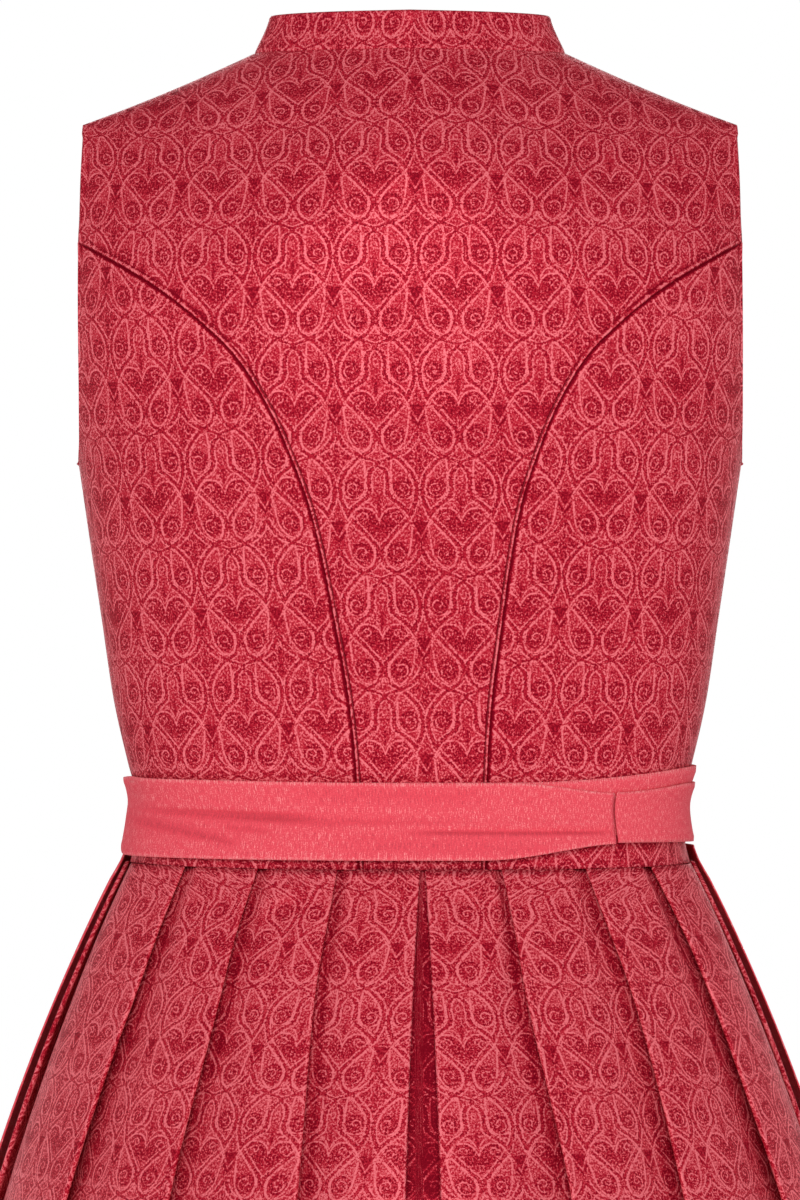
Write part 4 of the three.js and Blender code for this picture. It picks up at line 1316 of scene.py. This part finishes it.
def make_knot(material):
    """The knot: a rounded lump with the turns of the cloth pressed into it."""
    bpy.ops.object.select_all(action="DESELECT")
    bpy.ops.mesh.primitive_uv_sphere_add(
        segments=KNOT_GRID["segments"], ring_count=KNOT_GRID["rings"], radius=1.0
    )
    obj = bpy.context.object
    obj.name = "cloth_tie_knot"
    centre = out_from_body(KNOT["phi"], KNOT["z"], KNOT["inner"])
    outward = out_from_body(KNOT["phi"], KNOT["z"], 1) - body_point(KNOT["phi"], KNOT["z"])
    outward.z = 0
    outward.normalize()
    across = Vector((-outward.y, outward.x, 0))
    centre += outward * (KNOT["depth"] / 2 + KNOT["clear"])
    for vertex in obj.data.vertices:
        x, y, z = vertex.co
        turn = KNOT_FOLDS["turns"] * z + KNOT_FOLDS["slant"] * x
        fold = 1 + KNOT_FOLDS["depth"] * math.sin(turn) * (1 - z * z)
        waist = 1 - KNOT_FOLDS["waist"] * bump(z, KNOT_FOLDS["waist_reach"])
        square = KNOT_SQUARE["most"]
        if abs(z) < KNOT_SQUARE["until"]:
            square = min(square, (1 - z * z) ** KNOT_SQUARE["power"])
        r = fold * waist * square
        point = centre + across * (x * r * KNOT["width"] / 2) + outward * (y * r * KNOT["depth"] / 2)
        vertex.co = (point + Vector((0, 0, z * KNOT["height"] / 2))) * MM
    only(obj)
    bpy.ops.object.shade_smooth()
    obj.data.materials.append(material)
    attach(obj, BODY)
    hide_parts("tie_knot")


# Stitching


STITCH = {"off": 1.95, "radius": 0.2, "sunk": 0.3, "count": 135, "lifts": (0.1, 0.18, 0.1, -0.5)}


def stitch_line(name, path, material):
    """A thread that dips into the cloth. path holds pairs of point and outward direction."""
    data = bpy.data.curves.new(name, "CURVE")
    data.dimensions = "3D"
    data.bevel_depth = STITCH["radius"] * MM
    data.bevel_resolution = 1
    spline = data.splines.new("POLY")
    spline.points.add(len(path) - 1)
    for n, (point, out) in enumerate(path):
        lift = STITCH["lifts"][n % len(STITCH["lifts"])]
        spline.points[n].co = (*(leaned(point + out * lift) * MM), 1)
    obj = bpy.data.objects.new(name, data)
    bpy.context.collection.objects.link(obj)
    only(obj)
    bpy.ops.object.convert(target="MESH")
    obj = bpy.context.object
    obj.data.materials.append(material)
    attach(obj, BODY)


class DIRNDL_OT_stitching(bpy.types.Operator):
    """Rows of stitches beside the curved back seams"""

    bl_idname = "dirndl.stitching"
    bl_label = "Stitching"

    def execute(self, context):
        thread = plain_material("thread", THREAD_RED, THREAD_ROUGHNESS)
        top = seam_share(True)
        for side, word in ((1, "left"), (-1, "right")):
            rows = len(STITCH["lifts"]) * STITCH["count"]
            spots = [row_end(top * n / rows, True) for n in range(rows + 1)]
            path = []
            for n in range(2, rows - 2):
                (x0, z0), (x1, z1) = spots[n - 2], spots[n + 2]
                length = math.hypot(x1 - x0, z1 - z0)
                x = spots[n][0] - STITCH["off"] * (z1 - z0) / length
                z = spots[n][1] + STITCH["off"] * (x1 - x0) / length
                out = surface_normal(x, z, True)
                point = Vector((x, depth_at(x, z, True), z)) - out * STITCH["sunk"]
                point.x *= side
                out.x *= side
                path.append((point, out))
            stitch_line(f"stitches_{word}", path, thread)
        return {"FINISHED"}


# Shaders


class Socket:
    """A shader socket with the usual arithmetic."""

    def __init__(self, nodes, source):
        self.nodes = nodes
        self.source = source

    def math(self, operation, *others):
        """Any other operation of the math node."""
        node = self.nodes.tree.nodes.new("ShaderNodeMath")
        node.operation = operation
        for value, target in zip((self, *others), node.inputs):
            self.nodes.put(value, target)
        return Socket(self.nodes, node.outputs[0])

    def __add__(self, other):
        return self.math("ADD", other)

    __radd__ = __add__

    def __sub__(self, other):
        return self.math("SUBTRACT", other)

    def __rsub__(self, other):
        return (self * -1) + other

    def __mul__(self, other):
        return self.math("MULTIPLY", other)

    def __truediv__(self, other):
        return self.math("DIVIDE", other)

    def __abs__(self):
        return self.math("ABSOLUTE")

    def low(self, other):
        """The lesser of two values."""
        return self.math("MINIMUM", other)

    def high(self, other):
        """The greater of two values."""
        return self.math("MAXIMUM", other)

    def step(self, start, stop):
        """0 at start and 1 at stop, smooth between. start may be the greater."""
        node = self.nodes.add("ShaderNodeMapRange", Value=self)
        node.interpolation_type = "SMOOTHSTEP"
        node.inputs["From Min"].default_value = start
        node.inputs["From Max"].default_value = stop
        return Socket(self.nodes, node.outputs["Result"])

    def wrap(self, period):
        """The value brought within half a period of 0."""
        return self.math("WRAP", period / 2, -period / 2)


class Nodes:
    """A material's node tree, with short ways to add nodes."""

    def __init__(self, name):
        self.material = bpy.data.materials.new(name)
        self.material.use_nodes = True
        self.tree = self.material.node_tree
        self.tree.nodes.clear()

    def put(self, value, target):
        """Feeds a socket, a number or a colour into an input."""
        if isinstance(value, Socket):
            self.tree.links.new(value.source, target)
        else:
            target.default_value = value

    def add(self, kind, **inputs):
        """Any other node, with its inputs by name (an underscore stands for a space)."""
        node = self.tree.nodes.new(kind)
        for key, value in inputs.items():
            self.put(value, node.inputs[key.replace("_", " ")])
        return node

    def out(self, node, key=0):
        """An output of a node as a Socket."""
        return Socket(self, node.outputs[key])

    def mix_color(self, share, a, b):
        """The colour a share of the way from a to b."""
        node = self.tree.nodes.new("ShaderNodeMix")
        node.data_type = "RGBA"
        for key, value in (("Factor_Float", share), ("A_Color", a), ("B_Color", b)):
            target = next(s for s in node.inputs if s.identifier == key)
            if not isinstance(value, Socket) and key != "Factor_Float":
                value = (*value, 1.0)
            self.put(value, target)
        return Socket(self, next(s for s in node.outputs if s.identifier == "Result_Color"))

    def uv(self):
        """The cloth's own coordinates in millimetres: across and along."""
        node = self.tree.nodes.new("ShaderNodeUVMap")
        node.uv_map = CLOTH_UV
        parts = self.add("ShaderNodeSeparateXYZ", Vector=Socket(self, node.outputs[0]))
        return self.out(parts, 0), self.out(parts, 1)

    def painted_shading(self):
        """The painted shade and painted highlight stored with the cloth."""
        node = self.tree.nodes.new("ShaderNodeAttribute")
        node.attribute_name = PAINTED_SHADING_ATTRIBUTE
        return self.out(node, "Fac")

    def noise(self, u, v, row):
        """Noise between 0 and 1, of the kind and stretch that the row says."""
        place = self.add("ShaderNodeCombineXYZ", X=u * row["across"], Y=v * row["along"], Z=row["seed"])
        node = self.add("ShaderNodeTexNoise", Vector=self.out(place))
        for key in ("scale", "detail", "roughness"):
            self.put(row[key], node.inputs[key.capitalize()])
        return self.out(node)

    def chart(self, value, rows, across, up):
        """A charted line. across and up hold the start and the span of the rows' two columns."""
        node = self.add("ShaderNodeFloatCurve", Value=(value - across[0]) / across[1])
        line = node.mapping.curves[0]
        points = [((a - across[0]) / across[1], (b - up[0]) / up[1]) for a, b in rows]
        line.points[0].location = points[0]
        line.points[1].location = points[-1]
        for x, y in points[1:-1]:
            line.points.new(x, y)
        for point in line.points:
            point.handle_type = "AUTO_CLAMPED"
        node.mapping.update()
        return self.out(node) * up[1] + up[0]

    def finish(self, shader):
        """Connects a shader to the output."""
        end = self.tree.nodes.new("ShaderNodeOutputMaterial")
        self.tree.links.new(shader.outputs[0], end.inputs["Surface"])
        return self.material


# The woven repeat in its own unit, from the centre line of a heart to the thistle beside it
TILE = {"half": 20.5, "height": 58.75, "top": -12.0}
HIDDEN_FAR, HIDDEN_NEAR = 26.0, -5.0
# Lines charted down from the heart's corners: distance down, then x of the line there
STRAP = [
    (-12, 19.3), (-6.5, 18.4), (-2.5, 16.7), (0.8, 15.2), (6, 10.6), (11.5, 6), (14.5, 3), (17, 1.2),
    (20.5, 0.9), (24, 1.9), (27, 4.2), (30, 8.4), (33, 12.2), (36.2, 15.4), (41.2, 18.3), (46.75, 19.3),
]
ARCH = [
    (-12, 4.4), (-9, 5.6), (-5.5, 9.9), (-2, 13.6), (0.4, 15.6), (0.6, HIDDEN_FAR), (17.4, HIDDEN_FAR),
    (17.7, 20.4), (21, 18.7), (24.5, 16.3), (27, 13), (29, 9.6), (31.2, 5), (33.5, 0.1), (36, 2.8),
    (39, 4.3), (43, 4.7), (46.75, 4.4),
]
LOWER_DROP_NEAR = [
    (-12, HIDDEN_FAR), (4.3, HIDDEN_FAR), (4.5, 14.4), (7.5, 11.2), (10.5, 8), (14.5, 5), (19.5, 3),
    (24.5, 3.5), (27.3, 6.4), (27.5, HIDDEN_FAR), (46.75, HIDDEN_FAR),
]
LOWER_DROP_FAR = [
    (-12, HIDDEN_NEAR), (4.3, HIDDEN_NEAR), (4.5, 15.2), (6.5, 16.3), (12.5, 15.7), (19.5, 14.5),
    (23, 12.8), (26.3, 9.8), (27.3, 7.3), (27.5, HIDDEN_NEAR), (46.75, HIDDEN_NEAR),
]
UPPER_DROP_NEAR = [
    (-12, 6.9), (-9, 8.9), (-7.6, 11.8), (-7.4, HIDDEN_FAR), (30.5, HIDDEN_FAR), (30.75, 7.4),
    (33.75, 6.7), (37.25, 6.5), (41.75, 6.5), (46.75, 6.9),
]
UPPER_DROP_FAR = [
    (-12, 17.5), (-9, 16.2), (-7.6, 13.4), (-7.4, HIDDEN_NEAR), (30.5, HIDDEN_NEAR), (30.75, 8),
    (33.75, 11.2), (37.25, 14.2), (41.75, 16.7), (46.75, 17.5),
]
THISTLE = [
    (-12, 0), (3.7, 0), (3.9, 4.8), (4.9, 4.8), (5.1, 3.6), (8, 3.4), (10.5, 3.1), (13, 1.6), (15.5, 0.1),
    (46.75, 0),
]
# Lines charted across: distance from the centre line, then height over the corners
ACROSS_UP = (-12.0, 24.0)
LOBE = [(0, -3.6), (1, -1.2), (2.2, 0.6), (4, 2.2), (6, 3), (8.7, 3.1), (11, 2.3), (13.2, 0.2), (20.5, -12)]
LEAF = [(0, -0.6), (1.2, 1.6), (2.6, 4), (4.6, 5.7), (6.6, 5.9), (8.6, 5), (10, 3.9), (11.5, 1), (20.5, -12)]
# Small rings
RINGS = table(
    "x down radius narrow",
    (15.2, 28.9, 3.4, 1.0),
    (16.6, 33.6, 2.0, 1.0),
    (20.5, 25.6, 2.6, 2.0),
    (9.6, 2.3, 1.9, 1.0),
    (0.0, 41.2, 1.5, 1.2),
    (0.0, 25.4, 1.9, 0.9),
)
# Round eyes of the drops and of the heart, each with a spiral of that pitch
EYES = table(
    "x down reach pitch",
    (8.8, 19.6, 5.9, 3.3),
    (12.4, 45.8, 5.6, 3.1),
    (7.4, 1.6, 4.6, 3.0),
)


LEAST_STRAIGHT = 0.3
# Filled shapes: where each one's sides, top and foot fade
IN_DROP = (0.3, 0.9)
HEART = {"inset": 1.7, "side": (0.2, -0.6), "lobe": (0.1, -0.5), "foot": (13, 7), "top": (-8, -5)}
CREST_SHAPE = {"side": (1.6, 2.4), "top": (19, 22), "foot": (42, 37)}
STEM = {"side": (1.1, 0.5), "top": (-10, -8), "foot": (4, 0)}
THISTLE_SPAN = (0.0, 6.0)
# How strongly each line and shape shows
STRENGTH = {
    "rail": 0.85, "fine": 0.7, "in_drop": 0.12, "strap": 0.42, "stem": 0.7, "filled": 0.6, "crest": 0.7,
}
# How the lines are drawn: how rough the weave makes them, and from where to where each fades
ROUGH = {"weave": 2.6, "strap": 0.5, "drop": 0.4, "spiral": 0.3, "fine": 0.5, "thistle": 0.4}
RAIL = 1.5
SPIRAL = {"swell": 1.15, "fade": (1.9, 1.4), "rim": 0.8}
FADE = {
    "line": (0.72, 0.25),
    "rail": (0.6, 0.2),
    "fine": (0.6, 0.2),
    "thistle": (0.3, -0.3),
    "strap": (1.1, 0.7),
}


def is_hidden(row):
    """Whether a charted row lies out of the repeat."""
    return row[1] in (HIDDEN_FAR, HIDDEN_NEAR)


def straightness(rows):
    """The rows with the cosine of the line's slope, which turns an offset into a distance."""
    out = []
    for n, row in enumerate(rows):
        near = [rows[k] for k in (n - 1, n, n + 1) if 0 <= k < len(rows) and not is_hidden(rows[k])]
        slope = 0.0
        if len(near) > 1 and not is_hidden(row):
            slope = (near[-1][1] - near[0][1]) / (near[-1][0] - near[0][0])
        out.append((row[0], max(LEAST_STRAIGHT, 1 / math.hypot(1, slope))))
    return out


def damask(nodes, u, v, grain):
    """The woven pattern: how light its lines are, how dark its shapes and where its fine speckle lies."""
    width, height = cloth().repeat_width / MM, cloth().repeat_height / MM
    half, tall, top = TILE["half"], TILE["height"], TILE["top"]
    middle = top + tall / 2
    x = abs((u / width * (2 * half)).wrap(2 * half))
    down = (v / height * -tall - middle).wrap(tall) + middle
    low, span = HIDDEN_NEAR, HIDDEN_FAR - HIDDEN_NEAR
    rough = (grain - 0.5) * ROUGH["weave"]

    def offset(rows):
        """Distance to a line, positive on the side away from the heart's centre line."""
        place = nodes.chart(down, rows, (top, tall), (low, span))
        return (x - place) * nodes.chart(down, straightness(rows), (top, tall), (0.0, 1.0))

    def over(rows):
        """Distance to a line charted across, positive above it."""
        place = nodes.chart(x, rows, (0.0, half), ACROSS_UP)
        return (down * -1 - place) * nodes.chart(x, straightness(rows), (0.0, half), (0.0, 1.0))

    def radius_at(row):
        """Place beside the centre of a round shape, and the distance from it."""
        across = (x - row["x"]) * row.get("narrow", 1.0)
        below = (down - row["down"]).wrap(tall)
        return across, below, (across * across + below * below).math("SQRT")

    def shape(near, far):
        """Distance inside a closed shape between two lines."""
        return offset(near).low(offset(far) * -1)

    strap, arch = offset(STRAP), offset(ARCH)
    rails = abs(strap).low(abs(arch)) + rough * ROUGH["strap"]
    drops = shape(LOWER_DROP_NEAR, LOWER_DROP_FAR).high(shape(UPPER_DROP_NEAR, UPPER_DROP_FAR))
    lobe, leaf = over(LOBE), over(LEAF)
    lines = abs(drops).low(abs(lobe)) + rough * ROUGH["drop"]
    fine = abs(leaf)
    for row in RINGS:
        fine = fine.low(abs(radius_at(row)[2] - row["radius"]))
    eyes = None
    for row in EYES:
        across, below, radius = radius_at(row)
        turn = below.math("ARCTAN2", across) / (2 * math.pi)
        arm = abs((radius / row["pitch"] - turn).wrap(1.0)) * row["pitch"]
        start, stop = SPIRAL["fade"]
        arm = arm + radius.step(row["reach"] - start, row["reach"] - stop) * 3
        lines = lines.low(arm * SPIRAL["swell"] + rough * ROUGH["spiral"])
        disc = radius.step(row["reach"], row["reach"] - SPIRAL["rim"])
        eyes = disc if eyes is None else eyes.high(disc)
    fine = fine + rough * ROUGH["fine"]

    def between(row):
        """1 between the top and the foot of a filled shape."""
        return down.step(*row["top"]) * down.step(*row["foot"])

    in_drop = drops.step(*IN_DROP)
    in_heart = (strap + HEART["inset"]).step(*HEART["side"]) * lobe.step(*HEART["lobe"]) * between(HEART)
    in_crest = strap.step(*CREST_SHAPE["side"]) * arch.step(*CREST_SHAPE["side"]) * between(CREST_SHAPE)
    stem = x.step(*STEM["side"]) * between(STEM)
    thistle = abs(x - half) - nodes.chart(down, THISTLE, (top, tall), THISTLE_SPAN)
    filled = eyes.high(in_heart).high(in_crest * STRENGTH["crest"])
    light = lines.step(*FADE["line"]).high(abs(rails - RAIL).step(*FADE["rail"]) * STRENGTH["rail"])
    light = light.high(fine.step(*FADE["fine"]) * STRENGTH["fine"])
    light = light.high(in_drop * (1 - eyes) * STRENGTH["in_drop"])
    dark = (thistle + rough * ROUGH["thistle"]).step(*FADE["thistle"])
    dark = dark.high(rails.step(*FADE["strap"]) * STRENGTH["strap"])
    dark = dark.high(stem * STRENGTH["stem"]).high(filled * STRENGTH["filled"])
    return light, dark, filled


# Unevenness of the cloths: its stretch across and along, and its kind
NOISE_KEYS = "across along seed scale detail roughness"
GRAIN, PATCH, WORN, THREADS, SLUB, WEAVE = table(
    NOISE_KEYS,
    (1.0, 0.85, 0.0, 1.0, 1.0, 0.8),
    (1.0, 1.0, 3.0, 0.02, 2.0, 0.5),
    (1.0, 1.0, 9.0, 0.22, 2.0, 0.7),
    (2.6, 0.25, 0.0, 1.0, 2.0, 0.6),
    (1.3, 0.2, 7.0, 1.0, 2.0, 0.6),
    (1.6, 1.6, 0.0, 1.0, 1.0, 0.5),
)
# How much each part of the pattern and of the unevenness lightens or darkens the cloth
TONES = {
    "speckle": 5.0, "speckle_filled": 1.5, "light_over_dark": 0.2, "worn_least": 0.25, "worn_more": 1.5,
    "dark": 0.75, "patch": 0.6, "worn": 0.7, "lighter": (-0.1, 1.2), "darker": (0.2, -1.2),
}
APRON_TONES = {
    "threads": 2.8, "weave": 1.6, "slub": 0.7, "slub_fade": (0.62, 0.76),
    "lighter": (0.0, 0.8), "darker": (0.0, -1.1),
}
GLOSS = {"roughness": 0.48, "light": 0.08, "dark": 0.08}
RELIEF = {"strength": 0.35, "distance": 0.0004}
APRON_RELIEF = {"strength": 0.25, "distance": 0.0003}
APRON_ROUGHNESS = 0.8
# Materials made so far, by name
MADE = {}
APRON_LIGHT = (1.0, 0.33, 0.34)
APRON_DARK = (0.60, 0.055, 0.08)
THREAD_RED = (0.30, 0.004, 0.018)
THREAD_ROUGHNESS = 0.7
SHEEN = {"metallic": 0.12, "specular": 0.1, "tint": (1.0, 0.2, 0.26, 1.0)}
APRON_SHEEN = {"specular": 0.12, "tint": (1.0, 0.4, 0.4, 1.0)}


def jacquard():
    """The tone-on-tone cloth of the dress."""
    if "jacquard" in MADE:
        return MADE["jacquard"]
    settings = cloth()
    nodes = Nodes("jacquard")
    u, v = nodes.uv()
    grain, patch, worn = (nodes.noise(u, v, row) for row in (GRAIN, PATCH, WORN))
    light, dark, filled = damask(nodes, u, v, grain)
    speckle = (grain - 0.5) * (filled * TONES["speckle_filled"] + TONES["speckle"])
    shine = (1.0 + dark * TONES["light_over_dark"]) * (worn * TONES["worn_more"] + TONES["worn_least"])
    level = light * shine - dark * TONES["dark"] + speckle
    # The last term is the painted shade and painted highlight stored with the cloth: beside seams, along
    # folds and in creases, and a painted light over the whole skirt
    level = level + (patch - 0.5) * TONES["patch"] + (worn - 0.5) * TONES["worn"] + nodes.painted_shading()
    lighter, darker = level.step(*TONES["lighter"]), level.step(*TONES["darker"])
    color = nodes.mix_color(lighter, tuple(settings.red_ground), tuple(settings.red_light))
    color = nodes.mix_color(darker, color, tuple(settings.red_deep))
    strength, distance = RELIEF["strength"], RELIEF["distance"]
    relief = nodes.add("ShaderNodeBump", Height=grain, Strength=strength, Distance=distance)
    shader = nodes.add(
        "ShaderNodeBsdfPrincipled",
        Base_Color=color,
        Roughness=GLOSS["roughness"] - light * GLOSS["light"] + dark * GLOSS["dark"],
        Normal=nodes.out(relief),
    )
    shader.inputs["Metallic"].default_value = SHEEN["metallic"]
    shader.inputs["Specular IOR Level"].default_value = SHEEN["specular"]
    shader.inputs["Specular Tint"].default_value = SHEEN["tint"]
    MADE["jacquard"] = nodes.finish(shader)
    return MADE["jacquard"]


def apron_cloth():
    """The plain cloth of the apron, with fine uneven threads down its length."""
    if "apron_cloth" in MADE:
        return MADE["apron_cloth"]
    nodes = Nodes("apron_cloth")
    u, v = nodes.uv()
    threads, slub, weave = (nodes.noise(u, v, row) for row in (THREADS, SLUB, WEAVE))
    level = (threads - 0.5) * APRON_TONES["threads"] + (weave - 0.5) * APRON_TONES["weave"]
    # The last term is the painted highlight along the bands' edges and painted shade in the ties' creases,
    # stored with the cloth
    level = level + slub.step(*APRON_TONES["slub_fade"]) * APRON_TONES["slub"] + nodes.painted_shading()
    color = nodes.mix_color(level.step(*APRON_TONES["lighter"]), tuple(cloth().coral), APRON_LIGHT)
    color = nodes.mix_color(level.step(*APRON_TONES["darker"]), color, APRON_DARK)
    strength, distance = APRON_RELIEF["strength"], APRON_RELIEF["distance"]
    relief = nodes.add("ShaderNodeBump", Height=threads, Strength=strength, Distance=distance)
    normal = nodes.out(relief)
    shader = nodes.add("ShaderNodeBsdfPrincipled", Base_Color=color, Roughness=APRON_ROUGHNESS, Normal=normal)
    shader.inputs["Specular IOR Level"].default_value = APRON_SHEEN["specular"]
    shader.inputs["Specular Tint"].default_value = APRON_SHEEN["tint"]
    MADE["apron_cloth"] = nodes.finish(shader)
    return MADE["apron_cloth"]


def plain_material(name, color, roughness):
    """One even colour."""
    nodes = Nodes(name)
    shader = nodes.add("ShaderNodeBsdfPrincipled", Base_Color=(*color, 1.0), Roughness=roughness)
    return nodes.finish(shader)


# Stage

# The room's light: full up to the first height over or under the middle, shaded from the second on
ROOM_HORIZON = (0.16, 0.34)
ROOM_SHADE = 0.22
FLOOR_SIDE = 12.0
FLOOR_GREY = (0.85, 0.85, 0.85)
FLOOR_ROUGHNESS = 0.9
AIM = (0, 0, -0.3)
SENSOR = 36.0
CLIP = (0.05, 50.0)
LIGHTS = table(
    "name x y z side power",
    ("key", 100, 2400, 700, 1500, 34),
    ("left", 1400, 850, -1000, 900, 3.2),
    ("right", -1400, 850, -1000, 900, 3.0),
    ("front", 0, -2400, 400, 1600, 22),
)


def studio_world():
    """A white room that is darker overhead and underfoot than at eye level."""
    world = bpy.data.worlds.new("studio")
    world.use_nodes = True
    tree = world.node_tree
    sky = tree.nodes["Background"]
    place = tree.nodes.new("ShaderNodeTexCoord")
    parts = tree.nodes.new("ShaderNodeSeparateXYZ")
    height = tree.nodes.new("ShaderNodeMath")
    height.operation = "ABSOLUTE"
    level = tree.nodes.new("ShaderNodeMapRange")
    level.interpolation_type = "SMOOTHSTEP"
    start, stop = ROOM_HORIZON
    for key, value in (("From Min", start), ("From Max", stop), ("To Min", 1.0), ("To Max", ROOM_SHADE)):
        level.inputs[key].default_value = value
    tree.links.new(place.outputs["Generated"], parts.inputs[0])
    tree.links.new(parts.outputs[2], height.inputs[0])
    tree.links.new(height.outputs[0], level.inputs["Value"])
    tree.links.new(level.outputs["Result"], sky.inputs["Strength"])
    sky.inputs["Color"].default_value = (1.0, 1.0, 1.0, 1.0)
    return world


class DIRNDL_OT_stage(bpy.types.Operator):
    """Floor, backdrop colour, lights and camera"""

    bl_idname = "dirndl.stage"
    bl_label = "Stage"

    def execute(self, context):
        settings = studio()
        bpy.ops.object.select_all(action="DESELECT")
        bpy.ops.mesh.primitive_plane_add(size=FLOOR_SIDE, location=(0, 0, settings.floor_height))
        floor = context.object
        floor.name = "floor"
        floor.data.materials.append(plain_material("floor", FLOOR_GREY, FLOOR_ROUGHNESS))
        for row in LIGHTS:
            bpy.ops.object.light_add(type="AREA", location=(row["x"] * MM, row["y"] * MM, row["z"] * MM))
            lamp = context.object
            lamp.name = f"light_{row['name']}"
            lamp.data.energy = row["power"]
            lamp.data.size = row["side"] * MM
            aim = Vector(AIM) - lamp.location
            lamp.rotation_mode = "QUATERNION"
            lamp.rotation_quaternion = aim.to_track_quat("-Z", "Y")
        context.scene.world = studio_world()
        place = (settings.camera_aside, settings.camera_distance, settings.camera_height)
        bpy.ops.object.camera_add(location=place, rotation=(math.pi / 2, 0, math.pi))
        camera = context.object
        camera.name = "camera"
        camera.data.sensor_width = SENSOR
        camera.data.lens = SENSOR * settings.camera_distance / settings.view_height
        camera.data.clip_start, camera.data.clip_end = CLIP
        context.scene.camera = camera
        context.scene.view_settings.view_transform = "Standard"
        return {"FINISHED"}


# Panel and registration

OPERATORS = (
    DIRNDL_OT_bodice,
    DIRNDL_OT_collar,
    DIRNDL_OT_skirt,
    DIRNDL_OT_apron,
    DIRNDL_OT_ties,
    DIRNDL_OT_stitching,
    DIRNDL_OT_stage,
)


class DIRNDL_PT_panel(bpy.types.Panel):
    """Builds the dirndl piece by piece"""

    bl_label = "Dirndl"
    bl_idname = "DIRNDL_PT_panel"
    bl_space_type = "VIEW_3D"
    bl_region_type = "UI"
    bl_category = "Dirndl"

    def draw(self, context):
        for operator in OPERATORS:
            self.layout.operator(operator.bl_idname)


CLASSES = (DirndlCloth, DirndlStage, *OPERATORS, DIRNDL_PT_panel)


def register():
    """Adds the classes and their settings."""
    for cls in CLASSES:
        bpy.utils.register_class(cls)
    bpy.types.Scene.dirndl_cloth = bpy.props.PointerProperty(type=DirndlCloth)
    bpy.types.Scene.dirndl_stage = bpy.props.PointerProperty(type=DirndlStage)


def unregister():
    """Takes them away again."""
    del bpy.types.Scene.dirndl_stage
    del bpy.types.Scene.dirndl_cloth
    for cls in reversed(CLASSES):
        bpy.utils.unregister_class(cls)


def main():
    """Builds every piece and the stage."""
    register()
    bpy.ops.dirndl.bodice()
    bpy.ops.dirndl.collar()
    bpy.ops.dirndl.skirt()
    bpy.ops.dirndl.apron()
    bpy.ops.dirndl.ties()
    bpy.ops.dirndl.stitching()
    bpy.ops.dirndl.stage()


if __name__ == "__main__":
    main()
